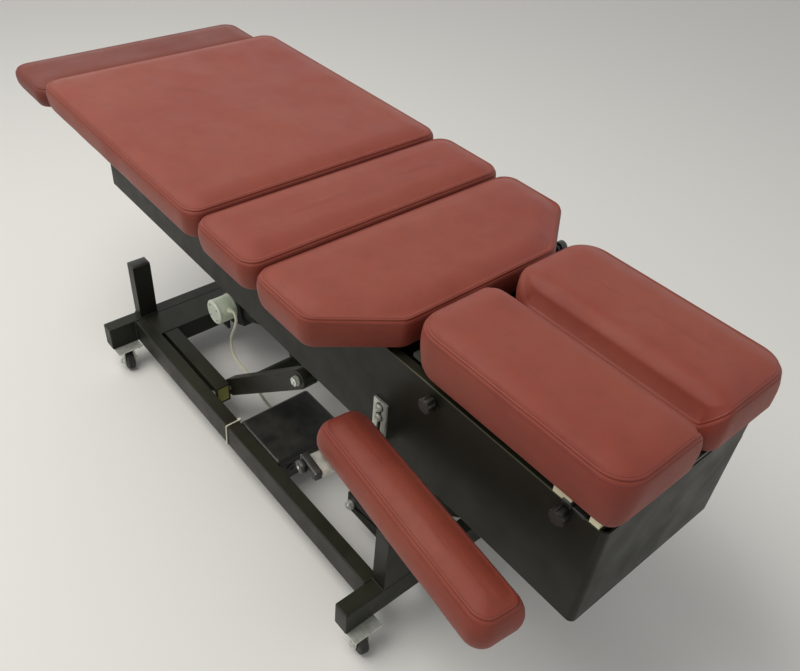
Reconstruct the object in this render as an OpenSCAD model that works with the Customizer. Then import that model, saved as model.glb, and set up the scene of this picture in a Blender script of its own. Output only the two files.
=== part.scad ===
// Height-adjustable chiropractic table with drop sections.
// X runs from the foot end (-) to the head end (+), Y from side to side, Z up from the floor.
// The origin is on the floor under the middle of the table. The lift stands part of the way up.

/* [Cushions] */
// Position of the ankle cushion's foot end along X
foot_end = -820; // [-900:1:-780]
// Width of the table cushions
cushion_w = 566; // [480:2:640]
// Length of the ankle cushion
ankle_len = 166; // [120:2:200]
// Gap between the ankle cushion and the leg cushion
ankle_gap = 20; // [16:1:40]
// Length of the leg cushion
leg_len = 624; // [500:2:720]
// Gap between the leg cushion and the pelvic cushion
pelvic_gap = 8; // [6:1:20]
// Length of the pelvic drop cushion
pelvic_len = 171; // [140:1:220]
// Gap between the pelvic cushion and the chest cushion
chest_gap = 7; // [6:1:20]
// Length of the chest drop cushion
chest_len = 233; // [200:1:300]
// Gap between the chest cushion and the headrest cushions
head_gap = 22; // [16:1:40]
// Length of the headrest cushions
head_len = 384; // [300:2:420]
// Half of the width over both headrest cushions
head_half = 188; // [150:1:220]
// Half of the slot between the headrest cushions
face_half = 9; // [8:1:40]
// Height of the cushion undersides above the floor
cushion_base = 627; // [600:1:660]
// Thickness of the table cushions up to the top seam
cushion_t = 55; // [40:1:80]
// Thickness of the ankle cushion up to the top seam
ankle_t = 42; // [30:1:60]
// Height of the table cushions' undersides above the ankle cushion's
ankle_below = 19; // [0:1:24]
// Height of the headrest cushions' undersides above the table cushions'
head_above = 16; // [12:1:30]
// Thickness of the headrest cushions up to the top seam
head_t = 73; // [60:1:90]
// Rise of a cushion's crown above its top seam
crown_h = 12; // [6:1:20]
// Corner radius of the table cushions
corner_r = 30; // [15:1:45]
// Length of the chest cushion's slanted corners along the table
slant_x = 92; // [60:1:120]
// Width of the chest cushion's slanted corners across the table
slant_y = 122; // [80:1:150]
// How far a cushion's underside is drawn in
tuck = 7; // [3:1:12]

/* [Armrests] */
// Length of an armrest cushion
armrest_len = 430; // [360:2:460]
// Width of an armrest cushion
armrest_w = 94; // [76:1:120]
// Thickness of an armrest cushion up to the top seam
armrest_t = 52; // [40:1:70]
// Height of an armrest cushion's underside above the side panels' lower edges
armrest_above = 26; // [25:1:35]
// Distance of an armrest's swing pin from the middle plane
armrest_y = 232; // [225:1:260]
// Distance of an armrest's swing pin from the headrests' foot end along X
armrest_behind = 56; // [46:1:66]
// Length of the armrest on the foot side of its swing pin
armrest_back = 36; // [28:1:60]
// Angle that the armrests stand out by
armrest_yaw = 6; // [0:1:15]
// Thickness of an armrest's base board
board_t = 9; // [6:1:15]
// Width of the armrest straps
strap_w = 32; // [25:1:40]
// Thickness of the armrest straps
strap_t = 4; // [3:0.5:6]
// Height of the armrest straps' top ends above the side panels' lower edges
strap_above = 93; // [85:1:110]
// Free height travel of an armrest strap
strap_travel = 40; // [20:1:50]

/* [Deck] */
// Half of the width over the deck's side panels
deck_half = 168; // [160:1:175]
// How far the leg cushion reaches past the deck's foot end
foot_over = 6; // [0:1:30]
// How far the headrests reach past the deck's head end
head_over = 18; // [10:1:40]
// Height of the side panels
panel_h = 204; // [180:1:215]
// Height of the table cushions' undersides above the side panels
deck_below = 13; // [13:1:27]
// Thickness of the deck's sheet steel
sheet_t = 3; // [2:0.5:4]
// Width of the panels' folded top edges
flange_w = 16; // [10:1:25]
// Outer radius of the bent corners at the head end
bend_r = 10; // [5:1:20]
// Depth of the deck plate under the side panels' top edges
plate_below = 44; // [42:1:49]

/* [Base] */
// Half of the width over the base rails
rail_half = 236; // [225:1:250]
// Width of the base tubes
rail_w = 30; // [25:1:40]
// Height of the base tubes
rail_h = 60; // [50:1:70]
// Height of the rails' top faces above the floor
rail_top = 126; // [120:1:130]
// Foot end of the base along X
base_foot = -501; // [-540:1:-480]
// Head end of the base along X
base_head = 476; // [440:1:520]
// Width of the crossbars along X
crossbar_w = 34; // [30:1:45]
// Half of the length of the crossbars
outrigger = 302; // [280:1:340]
// Length of the foot channel along X
channel_len = 77; // [60:1:100]
// Height of the foot channel and the lift beams
beam_h = 48; // [40:1:55]
// Height of the corner posts above the rails
post_h = 146; // [100:1:150]
// Size of the foot posts along X
foot_post_x = 30; // [25:1:34]
// Size of the foot posts across
foot_post_y = 44; // [30:1:50]
// Size of the head posts across
head_post_y = 62; // [40:1:70]
// Outer side of the corner posts from the middle plane
post_side = 218; // [210:1:225]
// Wall thickness of the base tubes
tube_t = 3; // [2:0.5:4]

/* [Lift] */
// Length of the lift arms between their pivots
arm_len = 370; // [340:1:400]
// Angle of the lift arms above level as they stand
arm_rise = 41; // [35:1:45]
// Position of the foot arms' lower pivots along X
arm_x = -158; // [-170:1:-150]
// Height of the lower pivots above the floor
arm_z = 101; // [98:1:104]
// Distance from the foot arms to the head arms
arm_pitch = 430; // [400:1:440]
// Depth of the lift arms
arm_d = 41; // [34:1:44]
// Width of the lift arms
arm_w = 26; // [20:1:30]
// Outer face of the foot arms from the middle plane
foot_arm_side = 158; // [155:1:160]
// Outer face of the head arms from the middle plane
head_arm_side = 94; // [90:1:98]
// Width of the lift beams
beam_w = 34; // [30:1:36]
// Outer face of the foot lift beams from the middle plane
foot_beam_side = 198; // [196:1:199]
// Outer face of the head lift beams from the middle plane
head_beam_side = 134; // [130:1:138]
// Diameter of the pivot bolts
bolt_d = 12; // [10:1:14]

/* [Actuator] */
// Position of the actuator's rear pin along X
rear_x = -350; // [-360:1:-345]
// Height of the actuator's rear pin
rear_z = 152; // [148:1:156]
// Radius from the lower pivots to the actuator's front pin
crank_r = 170; // [160:1:180]
// Angle of the crank ahead of the arms
crank_lead = 30; // [25:1:35]
// Position of the actuator across the table
actuator_y = -31; // [-40:1:0]
// Diameter of the lift motor
motor_d = 61; // [50:1:66]
// Length of the lift motor
motor_len = 40; // [30:1:60]
// Diameter of the actuator's outer tube
outer_d = 36; // [32:1:42]
// Diameter of the actuator's rod
rod_d = 20; // [16:1:24]

/* [Casters] */
// Diameter of the caster wheels
wheel_d = 50; // [45:1:54]
// Width of the caster wheels
wheel_w = 18; // [14:1:22]
// Trail of a caster wheel behind its swivel
trail = 24; // [15:1:28]
// Distance of the swivels from the middle plane
swivel_y = 268; // [250:1:280]

/* [Control box] */
// Foot end of the control box along X
box_x = -42; // [-42:1:-30]
// Length of the control box
box_len = 150; // [120:1:170]
// Side of the control box next to the rail
box_side = 204; // [180:1:205]
// Width of the control box
box_w = 180; // [140:1:180]
// Height of the control box
box_h = 64; // [50:1:66]
// Height of the control box's top face
box_top = 116; // [100:1:117]

/* [Hidden] */
vinyl = "#8f4f4b";
powder = "#23231e";
zinc = "#c9ccc8";
plastic = "#1a1a1a";
nylon = "#d9d2a0";
shell_grey = "#b4bcae";
round_fn = 48;
soft_fn = 32;
clear = 0.3;
run_fit = 0.05;
overlap = 1;

// Places of the cushions along X
ankle_x = foot_end;
leg_x = ankle_x + ankle_len + ankle_gap;
pelvic_x = leg_x + leg_len + pelvic_gap;
chest_x = pelvic_x + pelvic_len + chest_gap;
head_x = chest_x + chest_len + head_gap;
head_w = head_half - face_half;
head_end = head_x + head_len;

// Heights of the deck and of what it carries
deck_top = cushion_base - deck_below;
deck_low = deck_top - panel_h;
plate_z = deck_top - plate_below;
ankle_base = cushion_base - ankle_below;
head_base = cushion_base + head_above;
armrest_base = deck_low + armrest_above;
strap_top = deck_low + strap_above;

// Ends of the deck, and the armrests' swing pins
deck_foot = leg_x + foot_over;
deck_head = head_end - head_over;
armrest_x = head_x - armrest_behind;

// Shape of an upholstered cushion, as shares of its height and of its smaller half width
corner_steps = 5;
half_turn = 180;
edge_in = 4;
side_heights = [0, 0.07, 0.35, 0.7, 0.95, 1];
seam_in = 4.5;
side_insets = [tuck + edge_in, tuck, 1.5, 0, 2.5, seam_in];
crown_heights = [0.36, 0.7, 0.93, 0.98];
crown_reach = [9, 22, 45, 150];
crown_shares = [0.2, 0.42, 0.7, 0.9];
head_foot_r = 24;
head_seam_r = 46;
head_lean = 5;
head_roll_r = 34;
armrest_corner_r = 38;

// Lift, worked out from the arms
arm_rise_x = arm_len * cos(arm_rise);
arm_rise_z = arm_len * sin(arm_rise);
head_arm_x = arm_x + arm_pitch;
upper_x = arm_x + arm_rise_x;
upper_z = arm_z + arm_rise_z;
bore_d = bolt_d + 2 * run_fit;
arm_gap = 1;
hanger_t = 6;
bolt_head_d = 21;
bolt_head_h = 5;
nut_h = 9;
nut_d = 22;
arm_tube_d = 38;
foot_tube_at = 120;
head_tube_at = 150;
lug_t = 10;
slot_w = 17;
slot_reach = 3;
slot_shift = 2;
pin_d = 12;
lug_eye_d = 38;
lug_root_w = 60;

// Actuator, worked out in its own frame with the rear pin at the origin and the rod along X
crank_angle = arm_rise + crank_lead;
crank_x = arm_x + crank_r * cos(crank_angle);
crank_z = arm_z + crank_r * sin(crank_angle);
span_x = crank_x - rear_x;
span_z = crank_z - rear_z;
actuator_len = sqrt(span_x * span_x + span_z * span_z);
actuator_tilt = atan2(span_z, span_x);
eye_w = 33;
eye_d = 30;
gear_from = 24;
gear_to = 92;
gear_low = -24;
gear_high = 50;
gear_w = 46;
outer_to = 186;
bore_from = 12;
rod_from = 62;
fork_len = 34;
fork_t = 5;
fork_gap = 1;
fork_w = 26;
motor_at = 50;
motor_up = 23;
motor_cap_h = 6;
motor_step = 2;
gland_d = 12;
gland_h = 8;

// Base
rail_low = rail_top - rail_h;
rail_inner = rail_half - rail_w;
channel_from = base_foot + crossbar_w;
channel_to = channel_from + channel_len;
beam_low = rail_top - beam_h;
beam_past = 13;
foot_beam_to = arm_x + beam_past;
head_bar_x = base_head - crossbar_w;
plug_in = 2;
plug_t = 4.5;
bracket_t = 6;
bracket_r = 14;
bracket_low = 104;
caster_plate_t = 3;
caster_plate_x = 60;
caster_plate_y = 62;
king_d = 12;
fork_plate_t = 2.5;
fork_leg_w = 26;
fork_side_gap = 1.5;
race_d = 38;
race_h = 5;
crown_t = 3;
axle_d = 8;
axle_head_d = 13;
axle_head_h = 3;
swivel_top = rail_low - caster_plate_t;
crown_z = swivel_top - race_h - crown_t;
caster_yaws = [-6, 14, -12, 5];

// Deck
inner_half = deck_half - sheet_t;
plate_top = plate_z + sheet_t;
lip_w = 12;
riser_w = 30;
riser_y = 105;
post_d = 18;
post_y = 105;
post_below = 25;
post_low = plate_z - post_below;
sleeve_d = 30;
sleeve_below = 14;
sleeve_above = 28;
sleeve_low = plate_z - sleeve_below;
sleeve_high = plate_z + sleeve_above;
carriage_t = 8;
carriage_half = 150;
chest_post_in = 60;
bar_w = 25;
bar_y = 70;
bar_middle = bar_y + bar_w / 2;
bar_below = 14;
bar_top = plate_z - bar_below;
bar_in = 14;
bar_from = ankle_x + bar_in;
bar_reach = 374;
bar_to = leg_x + bar_reach;
ankle_riser_x = 110;
guide_len = 45;
guide_wall = 8;
guide_in = 16;
guide_pitch = 142;
guide_foot_x = deck_foot + guide_in;
guide_head_x = guide_foot_x + guide_pitch;
hinge_pin_d = 12;
hinge_lug_t = 8;
hinge_lug_y = 118;
knuckle_d = 26;
knuckle_w = 20;
frame_t = 7;
frame_half = 164;
frame_in = 13;
frame_to = head_end - frame_in;
hinge_in = 11;
hinge_x = head_x + hinge_in;
hinge_below = 14;
hinge_z = head_base - frame_t - hinge_below;
pad_h = head_base - frame_t - clear - deck_top;
pad_len = 30;
stop_len = 16;
pad_w = 14;
pad_in = 278;
pad_pitch = 60;
tilt_in = 304;
tilt_x = head_x + tilt_in;
tilt_below = 16;
tilt_z = deck_top - tilt_below;
tilt_range = 12;
quadrant_t = 5;
quadrant_y = 150;
quadrant_band = 13;
quadrant_web = 34;
stud_d = 8;
stud_slot_w = 9.6;
drop_in = 53;
drop_x = head_x + drop_in;
drop_below = 24;
drop_z = deck_top - drop_below;
knob_d = 21;
knob_h = 19;
knob_neck_d = 14;
knob_neck_h = 4;
lobe_d = 5;
lobes = 8;
lever_from = 96;
lever_x = chest_x + lever_from;
lever_below = 25;
lever_z = plate_z - lever_below;
lever_d = 14;
lever_out = 306;
lever_in = 60;
lever_arm_x = 40;
lever_arm_z = 33;
lever_arm_t = 6;
lever_knob_d = 24;
lever_knob_out = 320;

// Armrests
strap_rise = 6;
strap_low = deck_low + strap_rise;
shelf_end = 252;
strap_y = deck_half + clear;
strap_bolt_in = 13;
strap_bolt_pitch = 22;
strap_bolt_zs = [strap_top - strap_bolt_in - strap_bolt_pitch, strap_top - strap_bolt_in];
strap_bolt_d = 8;
strap_slot_w = 8.8;
button_d = 14;
button_h = 5;
carrier_t = armrest_base - board_t - strap_low - strap_t - clear;
carrier_x = 47;
carrier_in = 37;
carrier_out = 76;
carrier_lip = 16;
carrier_lip_t = 3;
carrier_boss_d = 34;
swing_pin_d = 12;
swing_pin_below = 16;
swing_pin_low = strap_low - swing_pin_below;
board_in = 8;

// Points of the lead that drops from the lift motor and runs under the deck to the control box
lead_d = 7;
lead_sides = 8;
LEAD_POINTS = [
    [-278, -74, 209.4], [-268, -74, 213], [-257, -76, 212], [-250, -78, 203], [-250, -80, 190],
    [-257, -81, 172], [-266, -82, 152], [-272, -83, 130], [-271, -84, 108], [-262, -86, 92],
    [-246, -87, 83], [-226, -88, 81], [-200, -90, 83], [-160, -96, 86], [-120, -104, 88],
    [-80, -110, 88], [-42, -112, 88]
];

function unit(v) = v / norm(v);
function corner_arc(before, corner, after, r, steps) =
    let (
        u = unit(before - corner),
        v = unit(after - corner),
        half = acos(u * v) / 2,
        reach = r / tan(half),
        middle = corner + unit(u + v) * r / sin(half),
        start = corner + u * reach - middle,
        turn = half_turn - 2 * half
    )
    [
        for (k = [0:steps])
            let (t = turn * k / steps)
                middle + [start.x * cos(t) - start.y * sin(t), start.x * sin(t) + start.y * cos(t)]
    ];
function rounded(corners, r, steps) =
    let (n = len(corners))
    [
        for (i = [0:n - 1])
            each corner_arc(corners[(i + n - 1) % n], corners[i], corners[(i + 1) % n], r, steps)
    ];
function oblong(half) = [[-half.x, -half.y], [half.x, -half.y], [half.x, half.y], [-half.x, half.y]];
function chest_corners(half) = [
    [-half.x, -half.y], [half.x - slant_x, -half.y], [half.x, slant_y - half.y],
    [half.x, half.y - slant_y], [half.x - slant_x, half.y], [-half.x, half.y]
];

// Drop of the face slot's rolled edge, for a slot on the +Y side (1), the -Y side (-1) or no slot (0)
function roll(y, half, side) =
    let (inside = min(head_roll_r, half.y - side * y))
        side == 0 ? 0 : head_roll_r - sqrt(head_roll_r * head_roll_r - pow(head_roll_r - inside, 2));

// One ring of a cushion at height z, between its outline at the foot and its outline at the seam
function ring(low, high, half, inset, lean, z, t, side) =
    let (share = min(1, z / t), end_inset = inset + lean * share)
    [
        for (i = [0:len(low) - 1])
            let (p = low[i] + share * (high[i] - low[i]))
                [
                    p.x * (half.x - end_inset) / half.x,
                    p.y * (half.y - inset) / half.y,
                    z - roll(p.y, half, side) * share
                ]
    ];

// An upholstered cushion on the XY plane: sides drawn in below, a pinched top seam and a crown
module cushion_solid(low, high, half, t, crown, side = 0, lean = 0) {
    small = min(half.x, half.y);
    rings = [
        for (k = [0:len(side_heights) - 1])
            ring(low, high, half, side_insets[k], lean, side_heights[k] * t, t, side),
        for (k = [0:len(crown_heights) - 1])
            let (inset = seam_in + min(crown_reach[k], crown_shares[k] * (small - seam_in)))
                ring(low, high, half, inset, lean, t + crown_heights[k] * crown, t, side)
    ];
    n = len(low);
    last = len(rings) - 1;
    points = [for (r = rings) each r, [0, 0, t + crown - roll(0, half, side)]];
    faces = [
        [for (j = [0:n - 1]) j],
        for (i = [0:last - 1], j = [0:n - 1])
            [i * n + j, (i + 1) * n + j, (i + 1) * n + (j + 1) % n, i * n + (j + 1) % n],
        for (j = [0:n - 1]) [last * n + j, (last + 1) * n, last * n + (j + 1) % n]
    ];
    polyhedron(points, faces, convexity = 4);
}

module table_cushion(from, length, base, t) {
    half = [length / 2, cushion_w / 2];
    outline = rounded(oblong(half), corner_r, corner_steps);
    color(vinyl)
        translate([from + half.x, 0, base])
            cushion_solid(outline, outline, half, t, crown_h);
}

module ankle_cushion() table_cushion(ankle_x, ankle_len, ankle_base, ankle_t);
module leg_cushion() table_cushion(leg_x, leg_len, cushion_base, cushion_t);
module pelvic_cushion() table_cushion(pelvic_x, pelvic_len, cushion_base, cushion_t);

module chest_cushion() {
    half = [chest_len / 2, cushion_w / 2];
    outline = rounded(chest_corners(half), corner_r, corner_steps);
    color(vinyl)
        translate([chest_x + half.x, 0, cushion_base])
            cushion_solid(outline, outline, half, cushion_t, crown_h);
}

module head_cushion(side) {
    half = [head_len / 2, head_w / 2];
    low = rounded(oblong(half), head_foot_r, corner_steps);
    high = rounded(oblong(half), head_seam_r, corner_steps);
    color(vinyl)
        translate([head_x + half.x, side * (face_half + half.y), head_base])
            cushion_solid(low, high, half, head_t, crown_h, -side, head_lean);
}

module head_cushion_left() head_cushion(-1);
module head_cushion_right() head_cushion(1);

// A bar along X with its ends at from and to, its near side at y and its top at z
module bar(from, to, y, w, top, h) {
    translate([from, y, top - h])
        cube([to - from, w, h]);
}

// A tube along X, hollow through both ends
module tube_x(from, to, y, w, top, h) {
    difference() {
        bar(from, to, y, w, top, h);
        bar(from - overlap, to + overlap, y + tube_t, w - 2 * tube_t, top - tube_t, h - 2 * tube_t);
    }
}

// A rod along Y between two distances from the middle plane
module rod_y(x, z, from, to, d) {
    translate([x, from, z])
        rotate([-90, 0, 0])
            cylinder(d = d, h = to - from, $fn = round_fn);
}

module mirrored(side) {
    mirror([0, side > 0 ? 1 : 0, 0])
        children();
}

module base_rail(side) {
    color(powder)
        mirrored(side)
            tube_x(channel_from, head_bar_x, -rail_half, rail_w, rail_top, rail_h);
}

module base_rail_left() base_rail(-1);
module base_rail_right() base_rail(1);

module crossbar(from) {
    difference() {
        translate([from, -outrigger, rail_low])
            cube([crossbar_w, 2 * outrigger, rail_h]);
        translate([from + tube_t, tube_t - outrigger, rail_low + tube_t])
            cube([crossbar_w - 2 * tube_t, 2 * (outrigger - tube_t), rail_h - 2 * tube_t]);
        for (side = [-1, 1])
            translate([from + crossbar_w / 2, side * swivel_y, rail_low - overlap])
                cylinder(d = king_d, h = tube_t + 2 * overlap, $fn = round_fn);
    }
}

module foot_crossbar() {
    color(powder)
        crossbar(base_foot);
}

module head_crossbar() {
    color(powder)
        crossbar(head_bar_x);
}

module foot_channel() {
    color(powder)
        difference() {
            translate([channel_from, -rail_inner, beam_low])
                cube([channel_len, 2 * rail_inner, beam_h]);
            translate([channel_from + tube_t, -rail_inner - overlap, beam_low - overlap])
                cube([channel_len - 2 * tube_t, 2 * (rail_inner + overlap), beam_h - tube_t + overlap]);
        }
}

module lift_beam(side, near, from, to, pivot) {
    color(powder)
        mirrored(side)
            difference() {
                tube_x(from, to, -near, beam_w, rail_top, beam_h);
                rod_y(pivot, arm_z, -near - overlap, beam_w - near + overlap, bolt_d);
            }
}

module foot_beam_left() lift_beam(-1, foot_beam_side, channel_to, foot_beam_to, arm_x);
module foot_beam_right() lift_beam(1, foot_beam_side, channel_to, foot_beam_to, arm_x);

module head_beams() {
    for (side = [-1, 1])
        lift_beam(side, head_beam_side, head_arm_x - beam_past, head_bar_x, head_arm_x);
}

module post(side, x, size_x, size_y) {
    mirrored(side)
        difference() {
            translate([x, -post_side, rail_top])
                cube([size_x, size_y, post_h]);
            translate([x + tube_t, tube_t - post_side, rail_top - overlap])
                cube([size_x - 2 * tube_t, size_y - 2 * tube_t, post_h - tube_t + overlap]);
        }
}

module corner_posts() {
    color(powder)
        for (side = [-1, 1]) {
            post(side, base_foot, foot_post_x, foot_post_y);
            post(side, head_bar_x, crossbar_w, head_post_y);
        }
}

module beam_plugs() {
    color(nylon)
        for (side = [-1, 1])
            mirrored(side)
                bar(foot_beam_to - plug_in - plug_t, foot_beam_to - plug_in,
                    tube_t - foot_beam_side, beam_w - 2 * tube_t, rail_top - tube_t, beam_h - 2 * tube_t);
}

module actuator_bracket() {
    lug_side = eye_w / 2 + clear;
    color(powder)
        difference() {
            for (side = [-1, 1]) {
                middle = actuator_y + side * (lug_side + bracket_t / 2);
                translate([channel_to, middle - bracket_t / 2, bracket_low])
                    cube([rear_x + bracket_r - channel_to, bracket_t, rear_z - bracket_low]);
                rod_y(rear_x, rear_z, middle - bracket_t / 2, middle + bracket_t / 2, 2 * bracket_r);
            }
            rod_y(rear_x, rear_z, actuator_y - lug_side - bracket_t - overlap,
                actuator_y + lug_side + bracket_t + overlap, pin_d);
        }
}

// A bolt along Y with a domed head on the outer side and a nut on the inner side
module pivot_bolt(side, x, z, outer, inner, head_h) {
    mirrored(side) {
        rod_y(x, z, -outer, nut_h - inner, bolt_d);
        rod_y(x, z, -outer - head_h, -outer, bolt_head_d);
        translate([x, -inner, z])
            rotate([-90, 0, 0])
                cylinder(d = nut_d, h = nut_h, $fn = 6);
    }
}

module base_pivot_bolts() {
    actuator_pin();
    color(zinc)
        for (side = [-1, 1]) {
            pivot_bolt(side, arm_x, arm_z, foot_beam_side, foot_arm_side - arm_w - arm_gap, bolt_head_h);
            pivot_bolt(side, head_arm_x, arm_z, head_beam_side, head_arm_side - arm_w - arm_gap, bolt_head_h);
        }
}

module actuator_pin() {
    lug_out = eye_w / 2 + clear + bracket_t;
    color(zinc) {
        rod_y(rear_x, rear_z, actuator_y - lug_out, actuator_y + lug_out, pin_d);
        for (side = [-1, 1])
            rod_y(rear_x, rear_z, actuator_y + side * (lug_out + axle_head_h / 2) - axle_head_h / 2,
                actuator_y + side * (lug_out + axle_head_h / 2) + axle_head_h / 2, pin_d + axle_head_h);
    }
}

// A lift arm along X with its lower pivot at the origin, between two faces across the table
module arm_bar(outer) {
    difference() {
        union() {
            rod_y(0, 0, -outer, arm_w - outer, arm_d);
            rod_y(arm_len, 0, -outer, arm_w - outer, arm_d);
            translate([0, -outer, -arm_d / 2])
                cube([arm_len, arm_w, arm_d]);
        }
        rod_y(0, 0, -outer - overlap, arm_w - outer + overlap, bore_d);
        rod_y(arm_len, 0, -outer - overlap, arm_w - outer + overlap, bore_d);
    }
}

module on_arm(x) {
    translate([x, 0, arm_z])
        rotate([0, -arm_rise, 0])
            children();
}

module lift_arm(side, x, outer) {
    color(powder)
        mirrored(side)
            on_arm(x)
                arm_bar(outer);
}

module foot_arm_left() lift_arm(-1, arm_x, foot_arm_side);
module foot_arm_right() lift_arm(1, arm_x, foot_arm_side);
module head_arm_left() lift_arm(-1, head_arm_x, head_arm_side);
module head_arm_right() lift_arm(1, head_arm_x, head_arm_side);

module arm_tube(x, at, inner) {
    on_arm(x)
        difference() {
            rod_y(at, 0, -inner, inner, arm_tube_d);
            rod_y(at, 0, -inner - overlap, inner + overlap, arm_tube_d - 2 * tube_t);
        }
}

// The crank lug stands on the cross tube, and its slot leaves the actuator's front pin free play
module crank_lug() {
    tube_x = arm_x + foot_tube_at * cos(arm_rise);
    tube_z = arm_z + foot_tube_at * sin(arm_rise);
    lug_dx = crank_x - tube_x;
    lug_dz = crank_z - tube_z;
    translate([0, actuator_y + lug_t / 2, 0])
        rotate([90, 0, 0])
            linear_extrude(lug_t)
                difference() {
                    union() {
                        translate([crank_x, crank_z])
                            circle(d = lug_eye_d, $fn = round_fn);
                        translate([tube_x, tube_z])
                            rotate(atan2(lug_dz, lug_dx))
                                translate([0, -lug_eye_d / 2])
                                    square([norm([lug_dx, lug_dz]), lug_eye_d]);
                    }
                    translate([tube_x, tube_z])
                        circle(d = arm_tube_d - tube_t, $fn = round_fn);
                    translate([crank_x, crank_z])
                        rotate(actuator_tilt)
                            translate([slot_shift, 0]) {
                                for (way = [-1, 1])
                                    translate([way * slot_reach, 0])
                                        circle(d = slot_w, $fn = round_fn);
                                square([2 * slot_reach, slot_w], center = true);
                            }
                }
}

module foot_arm_tube() {
    color(powder) {
        arm_tube(arm_x, foot_tube_at, foot_arm_side - arm_w);
        crank_lug();
    }
}

module head_arm_tube() {
    color(powder)
        arm_tube(head_arm_x, head_tube_at, head_arm_side - arm_w);
}

module on_actuator() {
    translate([rear_x, actuator_y, rear_z])
        rotate([0, -actuator_tilt, 0])
            children();
}

module actuator_housing() {
    color(plastic)
        on_actuator()
            difference() {
                union() {
                    rod_y(0, 0, -eye_w / 2, eye_w / 2, eye_d);
                    translate([0, -eye_w / 2, -eye_d / 2])
                        cube([gear_from + overlap, eye_w, eye_d]);
                    translate([gear_from, -gear_w / 2, gear_low])
                        cube([gear_to - gear_from, gear_w, gear_high - gear_low]);
                    translate([gear_from, 0, 0])
                        rotate([0, 90, 0])
                            cylinder(d = outer_d, h = outer_to - gear_from, $fn = round_fn);
                }
                rod_y(0, 0, -gear_w, gear_w, pin_d + 2 * run_fit);
                translate([bore_from, 0, 0])
                    rotate([0, 90, 0])
                        cylinder(d = rod_d + 2 * run_fit, h = outer_to, $fn = round_fn);
            }
}

module actuator_motor() {
    face = -gear_w / 2;
    color(shell_grey)
        on_actuator() {
            rod_y(motor_at, motor_up, face - motor_len, face, motor_d);
            rod_y(motor_at, motor_up, face - motor_len - motor_cap_h, face - motor_len, motor_d - motor_step);
            translate([motor_at, face - motor_len / 2, motor_up])
                rotate([0, 90, 0])
                    cylinder(d = gland_d, h = motor_d / 2 + gland_h, $fn = round_fn);
        }
}

module actuator_rod() {
    fork_in = lug_t / 2 + fork_gap;
    color(zinc)
        on_actuator() {
            translate([rod_from, 0, 0])
                rotate([0, 90, 0])
                    cylinder(d = rod_d, h = actuator_len - fork_len - rod_from, $fn = round_fn);
            translate([actuator_len - fork_len, -fork_in - fork_t, -fork_w / 2])
                cube([fork_t, 2 * (fork_in + fork_t), fork_w]);
            for (side = [-1, 1]) {
                translate([actuator_len - fork_len, side * (fork_in + fork_t / 2) - fork_t / 2, -fork_w / 2])
                    cube([fork_len, fork_t, fork_w]);
                rod_y(actuator_len, 0, side * (fork_in + fork_t / 2) - fork_t / 2,
                    side * (fork_in + fork_t / 2) + fork_t / 2, fork_w);
            }
            rod_y(actuator_len, 0, -fork_in - fork_t - axle_head_h, fork_in + fork_t + axle_head_h, pin_d);
        }
}

// Casters
module at_caster(end, side) {
    x = (end < 0 ? base_foot : head_bar_x) + crossbar_w / 2;
    translate([x, side * swivel_y, 0])
        children();
}

module caster_plates() {
    color(zinc)
        for (end = [-1, 1], side = [-1, 1])
            at_caster(end, side) {
                translate([-caster_plate_x / 2 + trail / 2, -caster_plate_y / 2, swivel_top])
                    cube([caster_plate_x, caster_plate_y, caster_plate_t]);
                translate([0, 0, crown_z - axle_head_h])
                    cylinder(d = king_d - 2 * run_fit, h = swivel_top - crown_z + axle_head_h + overlap,
                        $fn = round_fn);
            }
}

module caster_fork(end, side, yaw) {
    leg_in = wheel_w / 2 + fork_side_gap;
    rivet_y = leg_in + fork_plate_t + axle_head_h / 2;
    axle_low = wheel_d / 2 - axle_d;
    color(zinc)
        at_caster(end, side)
            rotate([0, 0, yaw]) {
                difference() {
                    union() {
                        translate([0, 0, crown_z])
                            cylinder(d = race_d, h = race_h + crown_t - clear, $fn = round_fn);
                        translate([-fork_leg_w / 2, -leg_in - fork_plate_t, crown_z])
                            cube([trail + fork_leg_w / 2, 2 * (leg_in + fork_plate_t), crown_t]);
                    }
                    translate([0, 0, crown_z - overlap])
                        cylinder(d = king_d, h = race_h + crown_t + 2 * overlap, $fn = round_fn);
                }
                for (way = [-1, 1])
                    translate([0, way * (leg_in + fork_plate_t / 2) + fork_plate_t / 2, 0])
                        rotate([90, 0, 0])
                            linear_extrude(fork_plate_t)
                                polygon([
                                    [-fork_leg_w / 2, crown_z + crown_t], [-fork_leg_w / 2, crown_z - race_h],
                                    [trail - axle_d, axle_low], [trail + axle_d, axle_low],
                                    [trail + axle_head_d, crown_z + crown_t]
                                ]);
                rod_y(trail, wheel_d / 2, -leg_in - fork_plate_t, leg_in + fork_plate_t, axle_d);
                for (way = [-1, 1])
                    rod_y(trail, wheel_d / 2, way * rivet_y - axle_head_h / 2,
                        way * rivet_y + axle_head_h / 2, axle_head_d);
            }
}

module caster_wheel(end, side, yaw) {
    tread_r = 3;
    color(plastic)
        at_caster(end, side)
            rotate([0, 0, yaw])
                translate([trail, 0, wheel_d / 2])
                    rotate([90, 0, 0])
                        rotate_extrude($fn = round_fn)
                            polygon([
                                [axle_d / 2 + run_fit, -wheel_w / 2], [wheel_d / 2 - tread_r, -wheel_w / 2],
                                [wheel_d / 2, tread_r - wheel_w / 2], [wheel_d / 2, wheel_w / 2 - tread_r],
                                [wheel_d / 2 - tread_r, wheel_w / 2], [axle_d / 2 + run_fit, wheel_w / 2]
                            ]);
}

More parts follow.
